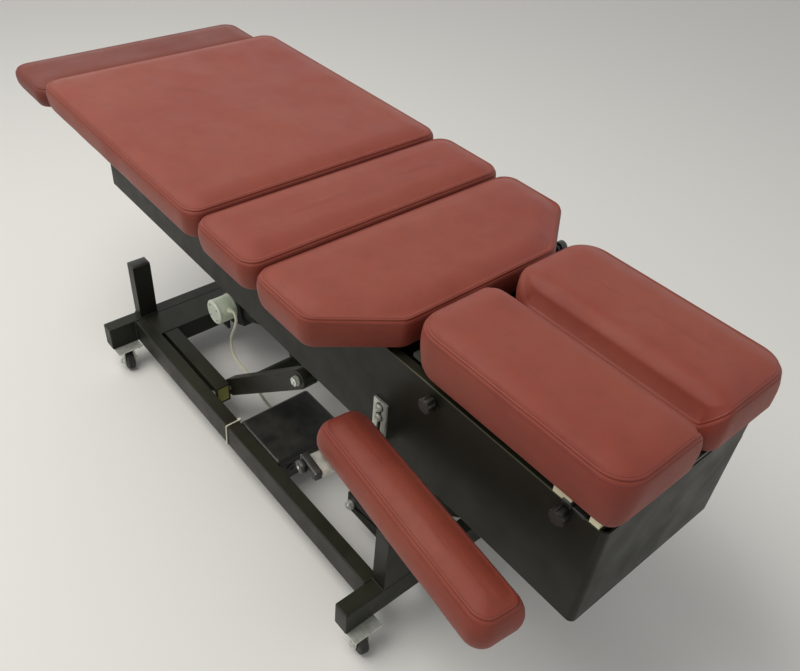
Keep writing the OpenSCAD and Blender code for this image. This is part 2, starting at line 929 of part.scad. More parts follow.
module caster_fork_foot_left() caster_fork(-1, -1, caster_yaws[0]);
module caster_fork_foot_right() caster_fork(-1, 1, caster_yaws[1]);
module caster_fork_head_left() caster_fork(1, -1, caster_yaws[2]);
module caster_fork_head_right() caster_fork(1, 1, caster_yaws[3]);
module caster_wheel_foot_left() caster_wheel(-1, -1, caster_yaws[0]);
module caster_wheel_foot_right() caster_wheel(-1, 1, caster_yaws[1]);
module caster_wheel_head_left() caster_wheel(1, -1, caster_yaws[2]);
module caster_wheel_head_right() caster_wheel(1, 1, caster_yaws[3]);

// Deck
module panel_hole(x, z, d) {
    rod_y(x, z, -deck_half - overlap, sheet_t - deck_half + overlap, d);
}

module side_panel(side) {
    hole_x = side < 0 ? tilt_x : lever_x;
    hole_z = side < 0 ? tilt_z : lever_z;
    hole_d = side < 0 ? stud_d : lever_d;
    color(powder)
        mirrored(side)
            difference() {
                union() {
                    translate([deck_foot, -deck_half, deck_low])
                        cube([deck_head - bend_r - deck_foot, sheet_t, deck_top - deck_low]);
                    translate([deck_foot, -deck_half, deck_top - sheet_t])
                        cube([deck_head - bend_r - deck_foot, flange_w, sheet_t]);
                    translate([deck_foot, -deck_half, deck_low])
                        cube([deck_head - bend_r - deck_foot, lip_w, sheet_t]);
                }
                panel_hole(hole_x, hole_z, hole_d + 2 * run_fit);
                if (side < 0)
                    panel_hole(drop_x, drop_z, stud_d + 2 * run_fit);
                for (z = strap_bolt_zs)
                    panel_hole(armrest_x, z, strap_bolt_d);
            }
}

module side_panel_left() side_panel(-1);
module side_panel_right() side_panel(1);

module head_end_panel() {
    color(powder)
        translate([0, 0, deck_low])
            linear_extrude(deck_top - deck_low) {
                translate([deck_head - sheet_t, bend_r - deck_half])
                    square([sheet_t, 2 * (deck_half - bend_r)]);
                for (side = [-1, 1])
                    intersection() {
                        translate([deck_head - bend_r, side * (deck_half - bend_r)])
                            difference() {
                                circle(r = bend_r, $fn = round_fn);
                                circle(r = bend_r - sheet_t, $fn = round_fn);
                            }
                        translate([deck_head - bend_r, (side < 0 ? -deck_half : deck_half - bend_r)])
                            square(bend_r);
                    }
            }
}

module foot_end_panel() {
    slot_w = bar_w + 2 * clear;
    color(powder)
        difference() {
            translate([deck_foot, -inner_half, deck_low + sheet_t])
                cube([sheet_t, 2 * inner_half, deck_top - deck_low - 2 * sheet_t]);
            for (side = [-1, 1])
                translate([deck_foot - overlap, side * bar_middle - slot_w / 2, bar_top - bar_w - clear])
                    cube([sheet_t + 2 * overlap, slot_w, slot_w]);
        }
}

module drop_sleeve(x, y) {
    translate([x, y, sleeve_low])
        difference() {
            cylinder(d = sleeve_d, h = sleeve_high - sleeve_low, $fn = round_fn);
            translate([0, 0, -overlap])
                cylinder(d = post_d + 2 * run_fit, h = sleeve_high, $fn = round_fn);
        }
}

function drop_posts() = [
    for (side = [-1, 1]) [pelvic_x + pelvic_len / 2, side * post_y],
    for (side = [-1, 1]) [chest_x + chest_post_in, side * post_y]
];

module bar_guide(x, side) {
    outer = bar_w + 2 * guide_wall;
    translate([x, side * bar_middle, 0])
        difference() {
            translate([0, -outer / 2, bar_top - bar_w - guide_wall])
                cube([guide_len, outer, plate_z - bar_top + bar_w + guide_wall]);
            translate([-overlap, -bar_w / 2 - clear, bar_top - bar_w - clear])
                cube([guide_len + 2 * overlap, bar_w + 2 * clear, bar_w + 2 * clear]);
        }
}

module deck_plate() {
    slot_from = tilt_x - quadrant_web;
    lug_middle = hinge_lug_y + hinge_lug_t / 2;
    color(powder) {
        difference() {
            translate([deck_foot + sheet_t, -inner_half, plate_z])
                cube([deck_head - bend_r - deck_foot - sheet_t, 2 * inner_half, sheet_t]);
            for (p = drop_posts())
                translate([p.x, p.y, plate_z - overlap])
                    cylinder(d = sleeve_d, h = sheet_t + 2 * overlap, $fn = round_fn);
            translate([slot_from, -inner_half - overlap, plate_z - overlap])
                cube([
                    2 * quadrant_web,
                    inner_half - quadrant_y + quadrant_t + 3 * overlap,
                    sheet_t + 2 * overlap
                ]);
        }
        for (p = drop_posts())
            drop_sleeve(p.x, p.y);
        for (side = [-1, 1]) {
            tube_x(leg_x + riser_w, leg_x + leg_len - riser_w, side * riser_y - riser_w / 2, riser_w,
                cushion_base, cushion_base - plate_top);
            bar_guide(guide_foot_x, side);
            bar_guide(guide_head_x, side);
            difference() {
                union() {
                    translate([hinge_x - knuckle_d / 2, side * lug_middle - hinge_lug_t / 2, plate_top])
                        cube([knuckle_d, hinge_lug_t, hinge_z - plate_top]);
                    rod_y(hinge_x, hinge_z, side * lug_middle - hinge_lug_t / 2,
                        side * lug_middle + hinge_lug_t / 2, knuckle_d);
                }
                rod_y(hinge_x, hinge_z, side * lug_middle - hinge_lug_t, side * lug_middle + hinge_lug_t,
                    hinge_pin_d + 2 * run_fit);
            }
        }
    }
}

module rest_pads() {
    color(nylon)
        for (side = [-1, 1])
            mirrored(side) {
                translate([head_x + pad_in, -deck_half, deck_top])
                    cube([pad_len, pad_w, pad_h]);
                translate([head_x + pad_in + pad_pitch, -deck_half, deck_top])
                    cube([stop_len, pad_w, pad_h]);
            }
}

// A hanger plate from the deck plate down to an upper pivot
module hanger(side, x, outer) {
    mirrored(side)
        difference() {
            union() {
                rod_y(x, upper_z, -outer, hanger_t - outer, arm_d);
                translate([x - arm_d / 2, -outer, upper_z])
                    cube([arm_d, hanger_t, plate_z - upper_z]);
            }
            rod_y(x, upper_z, -outer - overlap, hanger_t - outer + overlap, bolt_d);
        }
}

module deck_hangers() {
    color(powder)
        for (side = [-1, 1]) {
            hanger(side, upper_x, foot_arm_side - arm_w - arm_gap);
            hanger(side, upper_x + arm_pitch, head_arm_side - arm_w - arm_gap);
        }
}

module deck_pivot_bolts() {
    color(zinc)
        for (side = [-1, 1]) {
            pivot_bolt(side, upper_x, upper_z, foot_arm_side + arm_gap,
                foot_arm_side - arm_w - arm_gap - hanger_t, bolt_head_h);
            pivot_bolt(side, upper_x + arm_pitch, upper_z, head_arm_side + arm_gap,
                head_arm_side - arm_w - arm_gap - hanger_t, bolt_head_h);
        }
}

// Moving frames under the cushions
module ankle_slide() {
    riser_from = ankle_x + ankle_len / 2 - ankle_riser_x / 2;
    color(powder) {
        for (side = [-1, 1]) {
            translate([bar_from, side * bar_middle - bar_w / 2, bar_top - bar_w])
                cube([bar_to - bar_from, bar_w, bar_w]);
            translate([riser_from, side * bar_middle - bar_w / 2, bar_top])
                cube([ankle_riser_x, bar_w, ankle_base - carriage_t - bar_top]);
        }
        translate([riser_from, -carriage_half, ankle_base - carriage_t])
            cube([ankle_riser_x, 2 * carriage_half, carriage_t]);
    }
}

module drop_carriage(from, length, posts) {
    edge = 22;
    color(powder) {
        translate([from + edge, -carriage_half, cushion_base - carriage_t])
            cube([length - 2 * edge, 2 * carriage_half, carriage_t]);
        for (p = posts)
            translate([p.x, p.y, post_low])
                cylinder(d = post_d, h = cushion_base - carriage_t - post_low, $fn = round_fn);
    }
}

module pelvic_carriage() drop_carriage(pelvic_x, pelvic_len, [drop_posts()[0], drop_posts()[1]]);
module chest_carriage() drop_carriage(chest_x, chest_len, [drop_posts()[2], drop_posts()[3]]);

module quadrant() {
    stud_r = norm([tilt_x - hinge_x, tilt_z - hinge_z]);
    from = atan2(tilt_z - hinge_z, tilt_x - hinge_x);
    margin = 3;
    reach = 2 * stud_r;
    high = from + margin;
    low = from - tilt_range - margin;
    translate([hinge_x, -quadrant_y + quadrant_t, hinge_z])
        rotate([90, 0, 0])
            linear_extrude(quadrant_t)
                difference() {
                    union() {
                        intersection() {
                            difference() {
                                circle(r = stud_r + quadrant_band, $fn = 2 * round_fn);
                                circle(r = stud_r - quadrant_band, $fn = 2 * round_fn);
                            }
                            polygon([
                                [0, 0], [reach * cos(high), reach * sin(high)],
                                [reach * cos(low), reach * sin(low)]
                            ]);
                        }
                        translate([tilt_x - hinge_x - quadrant_band, tilt_z - hinge_z])
                            square([2 * quadrant_band, head_base - frame_t - tilt_z + overlap]);
                    }
                    difference() {
                        intersection() {
                            circle(r = stud_r + stud_slot_w / 2, $fn = 2 * round_fn);
                            polygon([
                                [0, 0], [reach * cos(from), reach * sin(from)],
                                [reach * cos(from - tilt_range), reach * sin(from - tilt_range)]
                            ]);
                        }
                        circle(r = stud_r - stud_slot_w / 2, $fn = 2 * round_fn);
                    }
                    for (a = [from, from - tilt_range])
                        translate([stud_r * cos(a), stud_r * sin(a)])
                            circle(d = stud_slot_w, $fn = round_fn);
                }
}

module head_frame() {
    hinge_pin_out = hinge_lug_y + hinge_lug_t + overlap;
    color(powder) {
        translate([hinge_x - knuckle_d / 2, -frame_half, head_base - frame_t])
            cube([frame_to - hinge_x + knuckle_d / 2, 2 * frame_half, frame_t]);
        for (side = [-1, 1]) {
            middle = side * (hinge_lug_y - knuckle_w / 2 - clear);
            rod_y(hinge_x, hinge_z, middle - knuckle_w / 2, middle + knuckle_w / 2, knuckle_d);
            translate([hinge_x - knuckle_d / 2, middle - knuckle_w / 2, hinge_z])
                cube([knuckle_d, knuckle_w, head_base - frame_t - hinge_z + overlap]);
        }
        rod_y(hinge_x, hinge_z, -hinge_pin_out, hinge_pin_out, hinge_pin_d);
        quadrant();
    }
}

// A lobed hand knob outside the left side panel, with its stud through the panel
module side_knob(x, z, stud_in) {
    color(plastic)
        translate([x, -deck_half - clear, z])
            rotate([90, 0, 0]) {
                cylinder(d = knob_neck_d, h = knob_neck_h, $fn = round_fn);
                translate([0, 0, knob_neck_h])
                    cylinder(d = knob_d, h = knob_h - knob_neck_h, $fn = round_fn);
                for (k = [0:lobes - 1])
                    rotate(360 / lobes * (k + 0.5))
                        translate([knob_d / 2, 0, knob_neck_h + overlap])
                            cylinder(d = lobe_d, h = knob_h - knob_neck_h - 2 * overlap, $fn = soft_fn);
                translate([0, 0, -stud_in])
                    cylinder(d = stud_d, h = stud_in + overlap, $fn = round_fn);
            }
}

module tilt_knob() side_knob(tilt_x, tilt_z, deck_half - quadrant_y + 2 * quadrant_t);
module drop_knob() side_knob(drop_x, drop_z, deck_half - quadrant_y + quadrant_t);

module chest_lever() {
    color(plastic) {
        rod_y(lever_x, lever_z, lever_in, lever_out, lever_d);
        translate([lever_x, lever_out, lever_z])
            rotate([90, 0, 0])
                linear_extrude(lever_arm_t) {
                    circle(d = knob_d, $fn = round_fn);
                    translate([lever_arm_x, lever_arm_z])
                        circle(d = knob_neck_d, $fn = round_fn);
                    rotate(atan2(lever_arm_z, lever_arm_x))
                        translate([0, -knob_neck_d / 2])
                            square([norm([lever_arm_x, lever_arm_z]), knob_neck_d]);
                }
        rod_y(lever_x + lever_arm_x, lever_z + lever_arm_z, lever_out, lever_knob_out, lever_knob_d);
    }
}

// Armrests, made on the left side and mirrored for the right side
module armrest_strap(side) {
    slot_low = strap_bolt_zs[0] - strap_travel;
    slot_high = strap_bolt_zs[1];
    color(zinc)
        mirrored(side) {
            difference() {
                translate([armrest_x - strap_w / 2, -strap_y - strap_t, strap_low])
                    cube([strap_w, strap_t, strap_top - strap_low]);
                for (z = [slot_low, slot_high])
                    rod_y(armrest_x, z, -strap_y - strap_t - overlap, overlap - strap_y, strap_slot_w);
                translate([armrest_x - strap_slot_w / 2, -strap_y - strap_t - overlap, slot_low])
                    cube([strap_slot_w, strap_t + 2 * overlap, slot_high - slot_low]);
            }
            translate([armrest_x - strap_w / 2, -shelf_end, strap_low])
                cube([strap_w, shelf_end - strap_y, strap_t]);
            translate([armrest_x, -armrest_y, swing_pin_low])
                cylinder(d = swing_pin_d, h = armrest_base - board_t - clear - swing_pin_low, $fn = round_fn);
            translate([armrest_x, -armrest_y, swing_pin_low])
                cylinder(d = nut_d, h = nut_h, $fn = 6);
        }
}

module armrest_strap_left() armrest_strap(-1);
module armrest_strap_right() armrest_strap(1);

module on_armrest(side) {
    mirrored(side)
        translate([armrest_x, -armrest_y, 0])
            rotate([0, 0, -armrest_yaw])
                children();
}

module armrest_carrier(side) {
    low = strap_low + strap_t + clear;
    color(zinc)
        on_armrest(side) {
            difference() {
                translate([-carrier_x / 2, -carrier_out, low])
                    cube([carrier_x, carrier_in + carrier_out, carrier_t]);
                translate([0, 0, low - overlap])
                    cylinder(d = swing_pin_d + 2 * run_fit, h = carrier_t + 2 * overlap, $fn = round_fn);
            }
            translate([-carrier_x / 2, -carrier_out, low])
                cube([carrier_x, carrier_lip_t, carrier_lip]);
        }
}

module armrest_carrier_left() armrest_carrier(-1);
module armrest_carrier_right() armrest_carrier(1);

module armrest_cushion(side) {
    half = [armrest_len / 2, armrest_w / 2];
    board_half = half - [board_in, board_in];
    outline = rounded(oblong(half), armrest_corner_r, corner_steps);
    color(vinyl)
        on_armrest(side)
            translate([half.x - armrest_back, 0, armrest_base]) {
                cushion_solid(outline, outline, half, armrest_t, crown_h);
                translate([0, 0, -board_t])
                    linear_extrude(board_t)
                        polygon(rounded(oblong(board_half), armrest_corner_r - board_in, corner_steps));
            }
}

module armrest_cushion_left() armrest_cushion(-1);
module armrest_cushion_right() armrest_cushion(1);

module strap_bolts() {
    head_seat = strap_y + strap_t + clear;
    color(zinc)
        for (side = [-1, 1], z = strap_bolt_zs)
            mirrored(side) {
                rod_y(armrest_x, z, -head_seat, sheet_t - deck_half + nut_h, strap_bolt_d);
                rod_y(armrest_x, z, -head_seat - button_h, -head_seat, button_d);
                translate([armrest_x, sheet_t - deck_half, z])
                    rotate([-90, 0, 0])
                        cylinder(d = button_d, h = nut_h / 2, $fn = 6);
            }
}

// Electrical parts
module control_box() {
    box_r = 10;
    tab_h = 6;
    color(plastic) {
        translate([box_x, -box_side, box_top - box_h])
            hull()
                for (x = [box_r, box_len - box_r], y = [box_r, box_w - box_r]) {
                    translate([x, y, 0])
                        cylinder(r = box_r, h = box_h - box_r, $fn = soft_fn);
                    translate([x, y, box_h - box_r])
                        sphere(r = box_r, $fn = soft_fn);
                }
        for (x = [box_x + 2 * box_r, box_x + box_len - 4 * box_r])
            translate([x, -rail_inner, box_top - box_h + box_r])
                cube([2 * box_r, rail_inner - box_side + overlap, tab_h]);
    }
}

function lead_frame(points, i) =
    let (
        n = len(points),
        way = unit(points[min(i + 1, n - 1)] - points[max(i - 1, 0)]),
        across = unit(cross(way, [0, 1, 0])),
        up = cross(way, across)
    )
    [across, up];

module lead(points) {
    n = len(points);
    rings = [
        for (i = [0:n - 1])
            let (f = lead_frame(points, i))
                [for (k = [0:lead_sides - 1])
                    let (a = 2 * half_turn * k / lead_sides)
                        points[i] + lead_d / 2 * (cos(a) * f[0] + sin(a) * f[1])]
    ];
    faces = [
        [for (k = [0:lead_sides - 1]) k],
        for (i = [0:n - 2], k = [0:lead_sides - 1])
            [i * lead_sides + k, (i + 1) * lead_sides + k,
                (i + 1) * lead_sides + (k + 1) % lead_sides, i * lead_sides + (k + 1) % lead_sides],
        [for (k = [lead_sides - 1:-1:0]) (n - 1) * lead_sides + k]
    ];
    polyhedron([for (r = rings) each r], faces, convexity = 6);
}

module motor_lead() {
    color(nylon)
        lead(LEAD_POINTS);
}

base_rail_left();
base_rail_right();
foot_crossbar();
head_crossbar();
foot_channel();
foot_beam_left();
foot_beam_right();
head_beams();
corner_posts();
beam_plugs();
actuator_bracket();
base_pivot_bolts();
caster_plates();
caster_fork_foot_left();
caster_fork_foot_right();
caster_fork_head_left();
caster_fork_head_right();
caster_wheel_foot_left();
caster_wheel_foot_right();
caster_wheel_head_left();
caster_wheel_head_right();
foot_arm_left();
foot_arm_right();
foot_arm_tube();
head_arm_left();
head_arm_right();
head_arm_tube();
actuator_housing();
actuator_motor();
actuator_rod();
side_panel_left();
side_panel_right();
head_end_panel();
foot_end_panel();
deck_plate();
rest_pads();
deck_hangers();
deck_pivot_bolts();
ankle_cushion();
leg_cushion();
pelvic_cushion();
chest_cushion();
head_cushion_left();
head_cushion_right();
armrest_cushion_left();
armrest_cushion_right();
ankle_slide();
pelvic_carriage();
chest_carriage();
head_frame();
tilt_knob();
drop_knob();
chest_lever();
armrest_strap_left();
armrest_strap_right();
armrest_carrier_left();
armrest_carrier_right();
strap_bolts();
control_box();
motor_lead();
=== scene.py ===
import bmesh
import bpy
import math
from mathutils import Matrix, Vector, noise


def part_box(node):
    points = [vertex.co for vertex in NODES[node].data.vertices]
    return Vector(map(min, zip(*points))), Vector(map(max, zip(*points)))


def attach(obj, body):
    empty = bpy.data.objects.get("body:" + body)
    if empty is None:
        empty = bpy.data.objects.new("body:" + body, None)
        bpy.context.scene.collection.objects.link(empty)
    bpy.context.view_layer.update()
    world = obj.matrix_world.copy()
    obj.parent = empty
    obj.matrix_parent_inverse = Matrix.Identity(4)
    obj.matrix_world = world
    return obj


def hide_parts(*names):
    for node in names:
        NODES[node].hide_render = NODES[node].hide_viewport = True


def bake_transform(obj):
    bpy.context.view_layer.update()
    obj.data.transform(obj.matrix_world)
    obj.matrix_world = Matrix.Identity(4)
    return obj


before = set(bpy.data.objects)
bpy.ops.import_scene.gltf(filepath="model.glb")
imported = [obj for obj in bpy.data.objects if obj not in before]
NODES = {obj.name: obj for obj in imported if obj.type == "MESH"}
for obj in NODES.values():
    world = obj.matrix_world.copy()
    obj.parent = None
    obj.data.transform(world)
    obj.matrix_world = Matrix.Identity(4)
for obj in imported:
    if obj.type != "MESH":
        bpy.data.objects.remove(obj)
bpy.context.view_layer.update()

# Sizes are in millimetres, in the frame of part.scad, unless a comment says otherwise.
MM = 0.001

# Camera of the photograph, solved from the table's straight edges: its place in metres, its axes,
# and its focal length and principal point in pixels of the photograph
CAMERA_AT = (1.0397, -0.7788, 1.4113)
CAMERA_RIGHT = (0.63787, 0.76709, 0.06855)
CAMERA_DOWN = (0.53366, -0.37607, -0.75748)
CAMERA_AHEAD = (-0.55528, 0.51975, -0.64925)
PHOTO_WIDTH = 800
FOCAL_LENGTH = 797.25
PRINCIPAL_X = 393.45
SENSOR = 36.0


def add_object(name, data):
    obj = bpy.data.objects.new(name, data)
    bpy.context.scene.collection.objects.link(obj)
    return obj


def make_camera():
    right, down, ahead = Vector(CAMERA_RIGHT), Vector(CAMERA_DOWN), Vector(CAMERA_AHEAD)
    cam = bpy.data.cameras.new("camera")
    cam.sensor_width = SENSOR
    cam.lens = FOCAL_LENGTH / PHOTO_WIDTH * SENSOR
    cam.shift_x = (PHOTO_WIDTH / 2 - PRINCIPAL_X) / PHOTO_WIDTH
    cam.clip_end = 60
    m = Matrix((right, -down, -ahead)).transposed().to_4x4()
    m.translation = Vector(CAMERA_AT)
    obj = add_object("camera", cam)
    obj.matrix_world = m
    bpy.context.scene.camera = obj


make_camera()


# Sizes: from the CAD nodes where these show them, and otherwise those of part.scad
def node_box(name):
    """The lowest and the highest corner of a CAD node."""
    return [[round(v / MM, 3) for v in corner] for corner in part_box(name)]


BOTH = (-1, 1)
SIDES = ((-1, "left"), (1, "right"))

# base: rails, lift beams, posts
(_, RAIL_IN, RAIL_LOW), (_, RAIL_OUT, RAIL_TOP) = node_box("base_rail_right")
(_, BEAM_IN, BEAM_LOW), (_, BEAM_OUT, BEAM_TOP) = node_box("foot_beam_right")
HEAD_BEAM_END, HEAD_BEAM_OUT, _ = node_box("head_beams")[1]
CHANNEL_FACE = node_box("foot_channel")[1][0]
CROSSBAR_FACES = (node_box("foot_crossbar")[1][0], node_box("head_crossbar")[0][0])
(POSTS_FOOT, _, _), (POSTS_HEAD, POSTS_OUT, POST_TOP) = node_box("corner_posts")
FOOT_POST, HEAD_POST = (30, 44), (34, 62)
FOOT_POST_FACE = POSTS_FOOT + FOOT_POST[0]
HEAD_POST_FACE = POSTS_HEAD - HEAD_POST[0]
# each side's posts: x from, x to, y from, and the x of the face that looks into the base
POSTS = ((POSTS_FOOT, FOOT_POST_FACE, POSTS_OUT - FOOT_POST[1], FOOT_POST_FACE),
         (HEAD_POST_FACE, POSTS_HEAD, POSTS_OUT - HEAD_POST[1], HEAD_POST_FACE))

# lift: the arms' lower pivots, the arms' run and rise, and the outer faces of the bolts' heads
PIVOT_X, PIVOT_Z = (-158, 272), 101
ARM_RUN, ARM_RISE = 279.24, 242.74
BASE_BOLT_FACES, DECK_BOLT_FACES = (203, 139), (164, 100)

# actuator: its rear pin and tilt in degrees, the motor's axis on it, and the motor's outer face and length
ACTUATOR_PIN, ACTUATOR_TILT = (-350, -31, 152), -23.925
MOTOR_AXIS, MOTOR_FACE, MOTOR_LENGTH = (50, 23), -94, 34

# control box
BOX_X, BOX_Y, BOX_TOP = (-42, 108), (-204, -24), 116

# deck: the side panels, and the bolts of the armrests' straps
(PANEL_FOOT, _, PANEL_LOW), (PANEL_HEAD, PANEL_FACE, PANEL_TOP) = node_box("side_panel_right")
STRAP_BOLTS_Z, STRAP_FACE = (468, 490), 172.2

# armrests: swing pin, yaw in degrees, underside, cushion with its ends and middle from the pin
ARMREST_PIN, ARMREST_YAW, ARMREST_Z = (375, 232), 6, 428
ARMREST_HALF, ARMREST_HALF_WIDTH, ARMREST_T = 215, 47, 60
ARMREST_BEHIND, ARMREST_OUT = 36, 4

# casters: swivel axis and yaw in degrees; trail and wheel radius; underside of the plates
CASTERS = {"foot_left": (-484, -268, -6), "foot_right": (-484, 268, 14),
           "head_left": (459, -268, -12), "head_right": (459, 268, 5)}
TRAIL, WHEEL_R = 24, 25
PLATE_Z = 63.2


# Materials
def rgb(r, g, b):
    """An sRGB colour from 0 to 255 as a linear one."""
    out = []
    for v in (r, g, b):
        v /= 255
        out.append(v / 12.92 if v <= 0.04045 else ((v + 0.055) / 1.055) ** 2.4)
    return (*out, 1.0)


class Mat:
    """A small helper round a material's node tree."""

    def __init__(self, name):
        self.material = bpy.data.materials.new(name)
        self.material.use_nodes = True
        self.tree = self.material.node_tree
        self.shader = self.tree.nodes["Principled BSDF"]
        self.place = self.tree.nodes.new("ShaderNodeTexCoord").outputs["Object"]

    def node(self, kind, inputs=None, **props):
        n = self.tree.nodes.new(kind)
        for k, v in props.items():
            setattr(n, k, v)
        for k, v in (inputs or {}).items():
            if isinstance(v, bpy.types.NodeSocket):
                self.tree.links.new(v, n.inputs[k])
            else:
                n.inputs[k].default_value = v
        return n

    def noise(self, scale, detail=3.0, rough=0.5, vec=None):
        ins = {"Vector": vec or self.place, "Scale": scale, "Detail": detail, "Roughness": rough}
        return self.node("ShaderNodeTexNoise", ins).outputs["Fac"]

    def stretched(self, scales):
        """Object coordinates, scaled along each axis."""
        return self.node("ShaderNodeMapping", {"Vector": self.place, "Scale": scales}).outputs[0]

    def cells(self, scale):
        """The distance to the nearest edge between cells."""
        ins = {"Vector": self.place, "Scale": scale}
        return self.node("ShaderNodeTexVoronoi", ins, feature="DISTANCE_TO_EDGE").outputs["Distance"]

    def ramp(self, value, low, high, to_low=0.0, to_high=1.0):
        ins = {"Value": value, "From Min": low, "From Max": high, "To Min": to_low, "To Max": to_high}
        return self.node("ShaderNodeMapRange", ins).outputs["Result"]

    def times(self, a, b):
        return self.node("ShaderNodeMath", {0: a, 1: b}, operation="MULTIPLY").outputs[0]

    def mix(self, share, a, b):
        return self.node("ShaderNodeMix", {0: share, 6: a, 7: b}, data_type="RGBA").outputs[2]

    def bump(self, height, distance, strength=1.0, normal=None):
        ins = {"Height": height, "Distance": distance, "Strength": strength}
        if normal is not None:
            ins["Normal"] = normal
        return self.node("ShaderNodeBump", ins).outputs["Normal"]

    def facing_up(self, low, high):
        """0 to 1 as the surface turns up."""
        normal = self.node("ShaderNodeNewGeometry").outputs["Normal"]
        z = self.node("ShaderNodeSeparateXYZ", {0: normal}).outputs["Z"]
        return self.ramp(z, low, high)

    def patchy(self, scale, low, high, detail=4):
        """Roughness that wanders between two values."""
        self.link("Roughness", self.ramp(self.noise(scale, detail), 0.3, 0.75, low, high))

    def link(self, name, value):
        if isinstance(value, bpy.types.NodeSocket):
            self.tree.links.new(value, self.shader.inputs[name])
        else:
            self.shader.inputs[name].default_value = value


def vinyl(name, tint=1.0):
    """Grained vinyl, clouded in tone, with painted shade in the creases of its grain; a tint below 1 darkens
    it.
    """
    m = Mat(name)
    base, dark, warm = (rgb(*(v * tint for v in c)) for c in ((129, 54, 40), (98, 35, 28), (137, 65, 47)))
    clouds = m.noise(scale=3.2, detail=4, rough=0.55)
    mottle = m.noise(scale=26, detail=5, rough=0.6)
    grain = m.cells(scale=900)
    # the creases between the grain's cells are darkened: painted shade
    grain_crease_shade = m.ramp(grain, 0.0, 0.12, to_low=1, to_high=0)
    colour = m.mix(m.ramp(clouds, 0.35, 0.7), base, warm)
    colour = m.mix(m.ramp(mottle, 0.45, 0.8, to_high=0.35), colour, dark)
    colour = m.mix(m.times(grain_crease_shade, 0.22), colour, dark)
    m.link("Base Color", colour)
    m.patchy(scale=14, low=0.46, high=0.6)
    m.link("Specular IOR Level", 0.3)
    m.link("Sheen Weight", 0.03)
    m.link("Sheen Roughness", 0.5)
    normal = m.bump(m.ramp(grain, 0.0, 0.16), distance=0.00012, strength=0.55)
    normal = m.bump(m.noise(scale=1400, detail=2), distance=0.00006, strength=0.5, normal=normal)
    m.link("Normal", m.bump(m.noise(scale=9), distance=0.0014, strength=0.35, normal=normal))
    return m.material


def powder(name, lift=1.0, gloss=0.24):
    """Black powder coat with orange peel, dust and long scratches; lift is how pale it is."""
    m = Mat(name)
    dust = m.ramp(m.noise(scale=7, detail=5, rough=0.6), 0.35, 0.75, to_low=0.05, to_high=0.42)
    dust = m.times(m.facing_up(0.5, 1.0), dust)
    colour = m.mix(dust, rgb(27 * lift, 27 * lift, 20 * lift), rgb(70, 70, 52))
    scratches = m.noise(scale=1.0, detail=6, rough=0.75, vec=m.stretched((6, 90, 90)))
    colour = m.mix(m.ramp(scratches, 0.69, 0.74, to_high=0.22), colour, rgb(84, 84, 74))
    m.link("Base Color", colour)
    m.patchy(scale=18, low=0.36, high=0.52)
    m.link("Specular IOR Level", gloss)
    peel = m.bump(m.noise(scale=420, detail=2, rough=0.4), distance=0.00025, strength=0.35)
    m.link("Normal", m.bump(m.noise(scale=55, detail=2), distance=0.0004, strength=0.2, normal=peel))
    return m.material


def zinc(name, tone=1.0):
    """Brushed zinc plate with cloudy tone and brown stains."""
    m = Mat(name)
    light = rgb(218 * tone, 221 * tone, 212 * tone)
    dull = rgb(180 * tone, 182 * tone, 172 * tone)
    colour = m.mix(m.ramp(m.noise(scale=60, detail=5, rough=0.6), 0.35, 0.7), light, dull)
    stain = m.ramp(m.noise(scale=16, detail=6, rough=0.7), 0.62, 0.75, to_high=0.5)
    m.link("Base Color", m.mix(stain, colour, rgb(120, 114, 94)))
    m.link("Metallic", 0.5)
    m.patchy(scale=35, low=0.28, high=0.48, detail=5)
    brushed = m.noise(scale=1.0, vec=m.stretched((900, 900, 30)))
    m.link("Normal", m.bump(brushed, distance=0.00008, strength=0.3))
    return m.material


def plastic(name, colour, rough, grain=900, depth=0.00008, fade=0.15):
    """Moulded plastic, rubber, nylon or thread; fade is its wear and dust."""
    m = Mat(name)
    dark = tuple(c * 0.72 for c in colour[:3]) + (1.0,)
    worn = m.mix(m.ramp(m.noise(scale=12, detail=5, rough=0.6), 0.4, 0.75, to_high=fade * 3), colour, dark)
    dust = m.ramp(m.noise(scale=30, detail=4, rough=0.6), 0.4, 0.7, to_low=0.02, to_high=fade)
    dust = m.times(m.facing_up(0.4, 1.0), dust)
    m.link("Base Color", m.mix(dust, worn, rgb(120, 118, 104)))
    m.patchy(scale=22, low=rough - 0.07, high=rough + 0.09)
    m.link("Specular IOR Level", 0.5)
    m.link("Normal", m.bump(m.noise(scale=grain, detail=2), distance=depth, strength=0.5))
    return m.material


VINYL = vinyl("burgundy_vinyl")
# a darker copy of the vinyl, used on the ankle cushion
DARKER_VINYL = vinyl("burgundy_vinyl_ankle", tint=0.84)
THREAD = plastic("thread", rgb(104, 42, 40), rough=0.7, grain=3000, depth=0.0001)
POWDER = powder("powder_coat")
PANEL = powder("panel_coat", lift=0.96, gloss=0.16)
# a paler copy of the coat for the panels' rims: painted highlight
RIM_HIGHLIGHT = powder("rim_highlight_coat", lift=2.6)
ZINC = zinc("zinc_plate")
DULL_ZINC = zinc("dull_zinc", tone=0.8)
BLACK = plastic("black_plastic", rgb(24, 24, 22), rough=0.42)
RUBBER = plastic("tread_rubber", rgb(30, 30, 28), rough=0.62, grain=500, depth=0.0002)
HUB = plastic("wheel_hub", rgb(44, 44, 40), rough=0.45)
SHELL = plastic("motor_shell", rgb(234, 244, 218), rough=0.4, grain=700, depth=0.00006, fade=0.06)
CAP = plastic("motor_cap", rgb(236, 243, 226), rough=0.38, grain=700, depth=0.00006, fade=0.08)
PLUG = plastic("plug_nylon", rgb(186, 184, 92), rough=0.5, grain=400, depth=0.0002, fade=0.2)
CREAM = plastic("cream_nylon", rgb(228, 222, 188), rough=0.45, grain=600, depth=0.00006, fade=0.12)
LEAD = plastic("lead_sheath", rgb(232, 230, 206), rough=0.5, depth=0.00005, fade=0.12)
FELT = plastic("black_underside", rgb(26, 25, 24), rough=0.85, grain=1500, depth=0.0003)


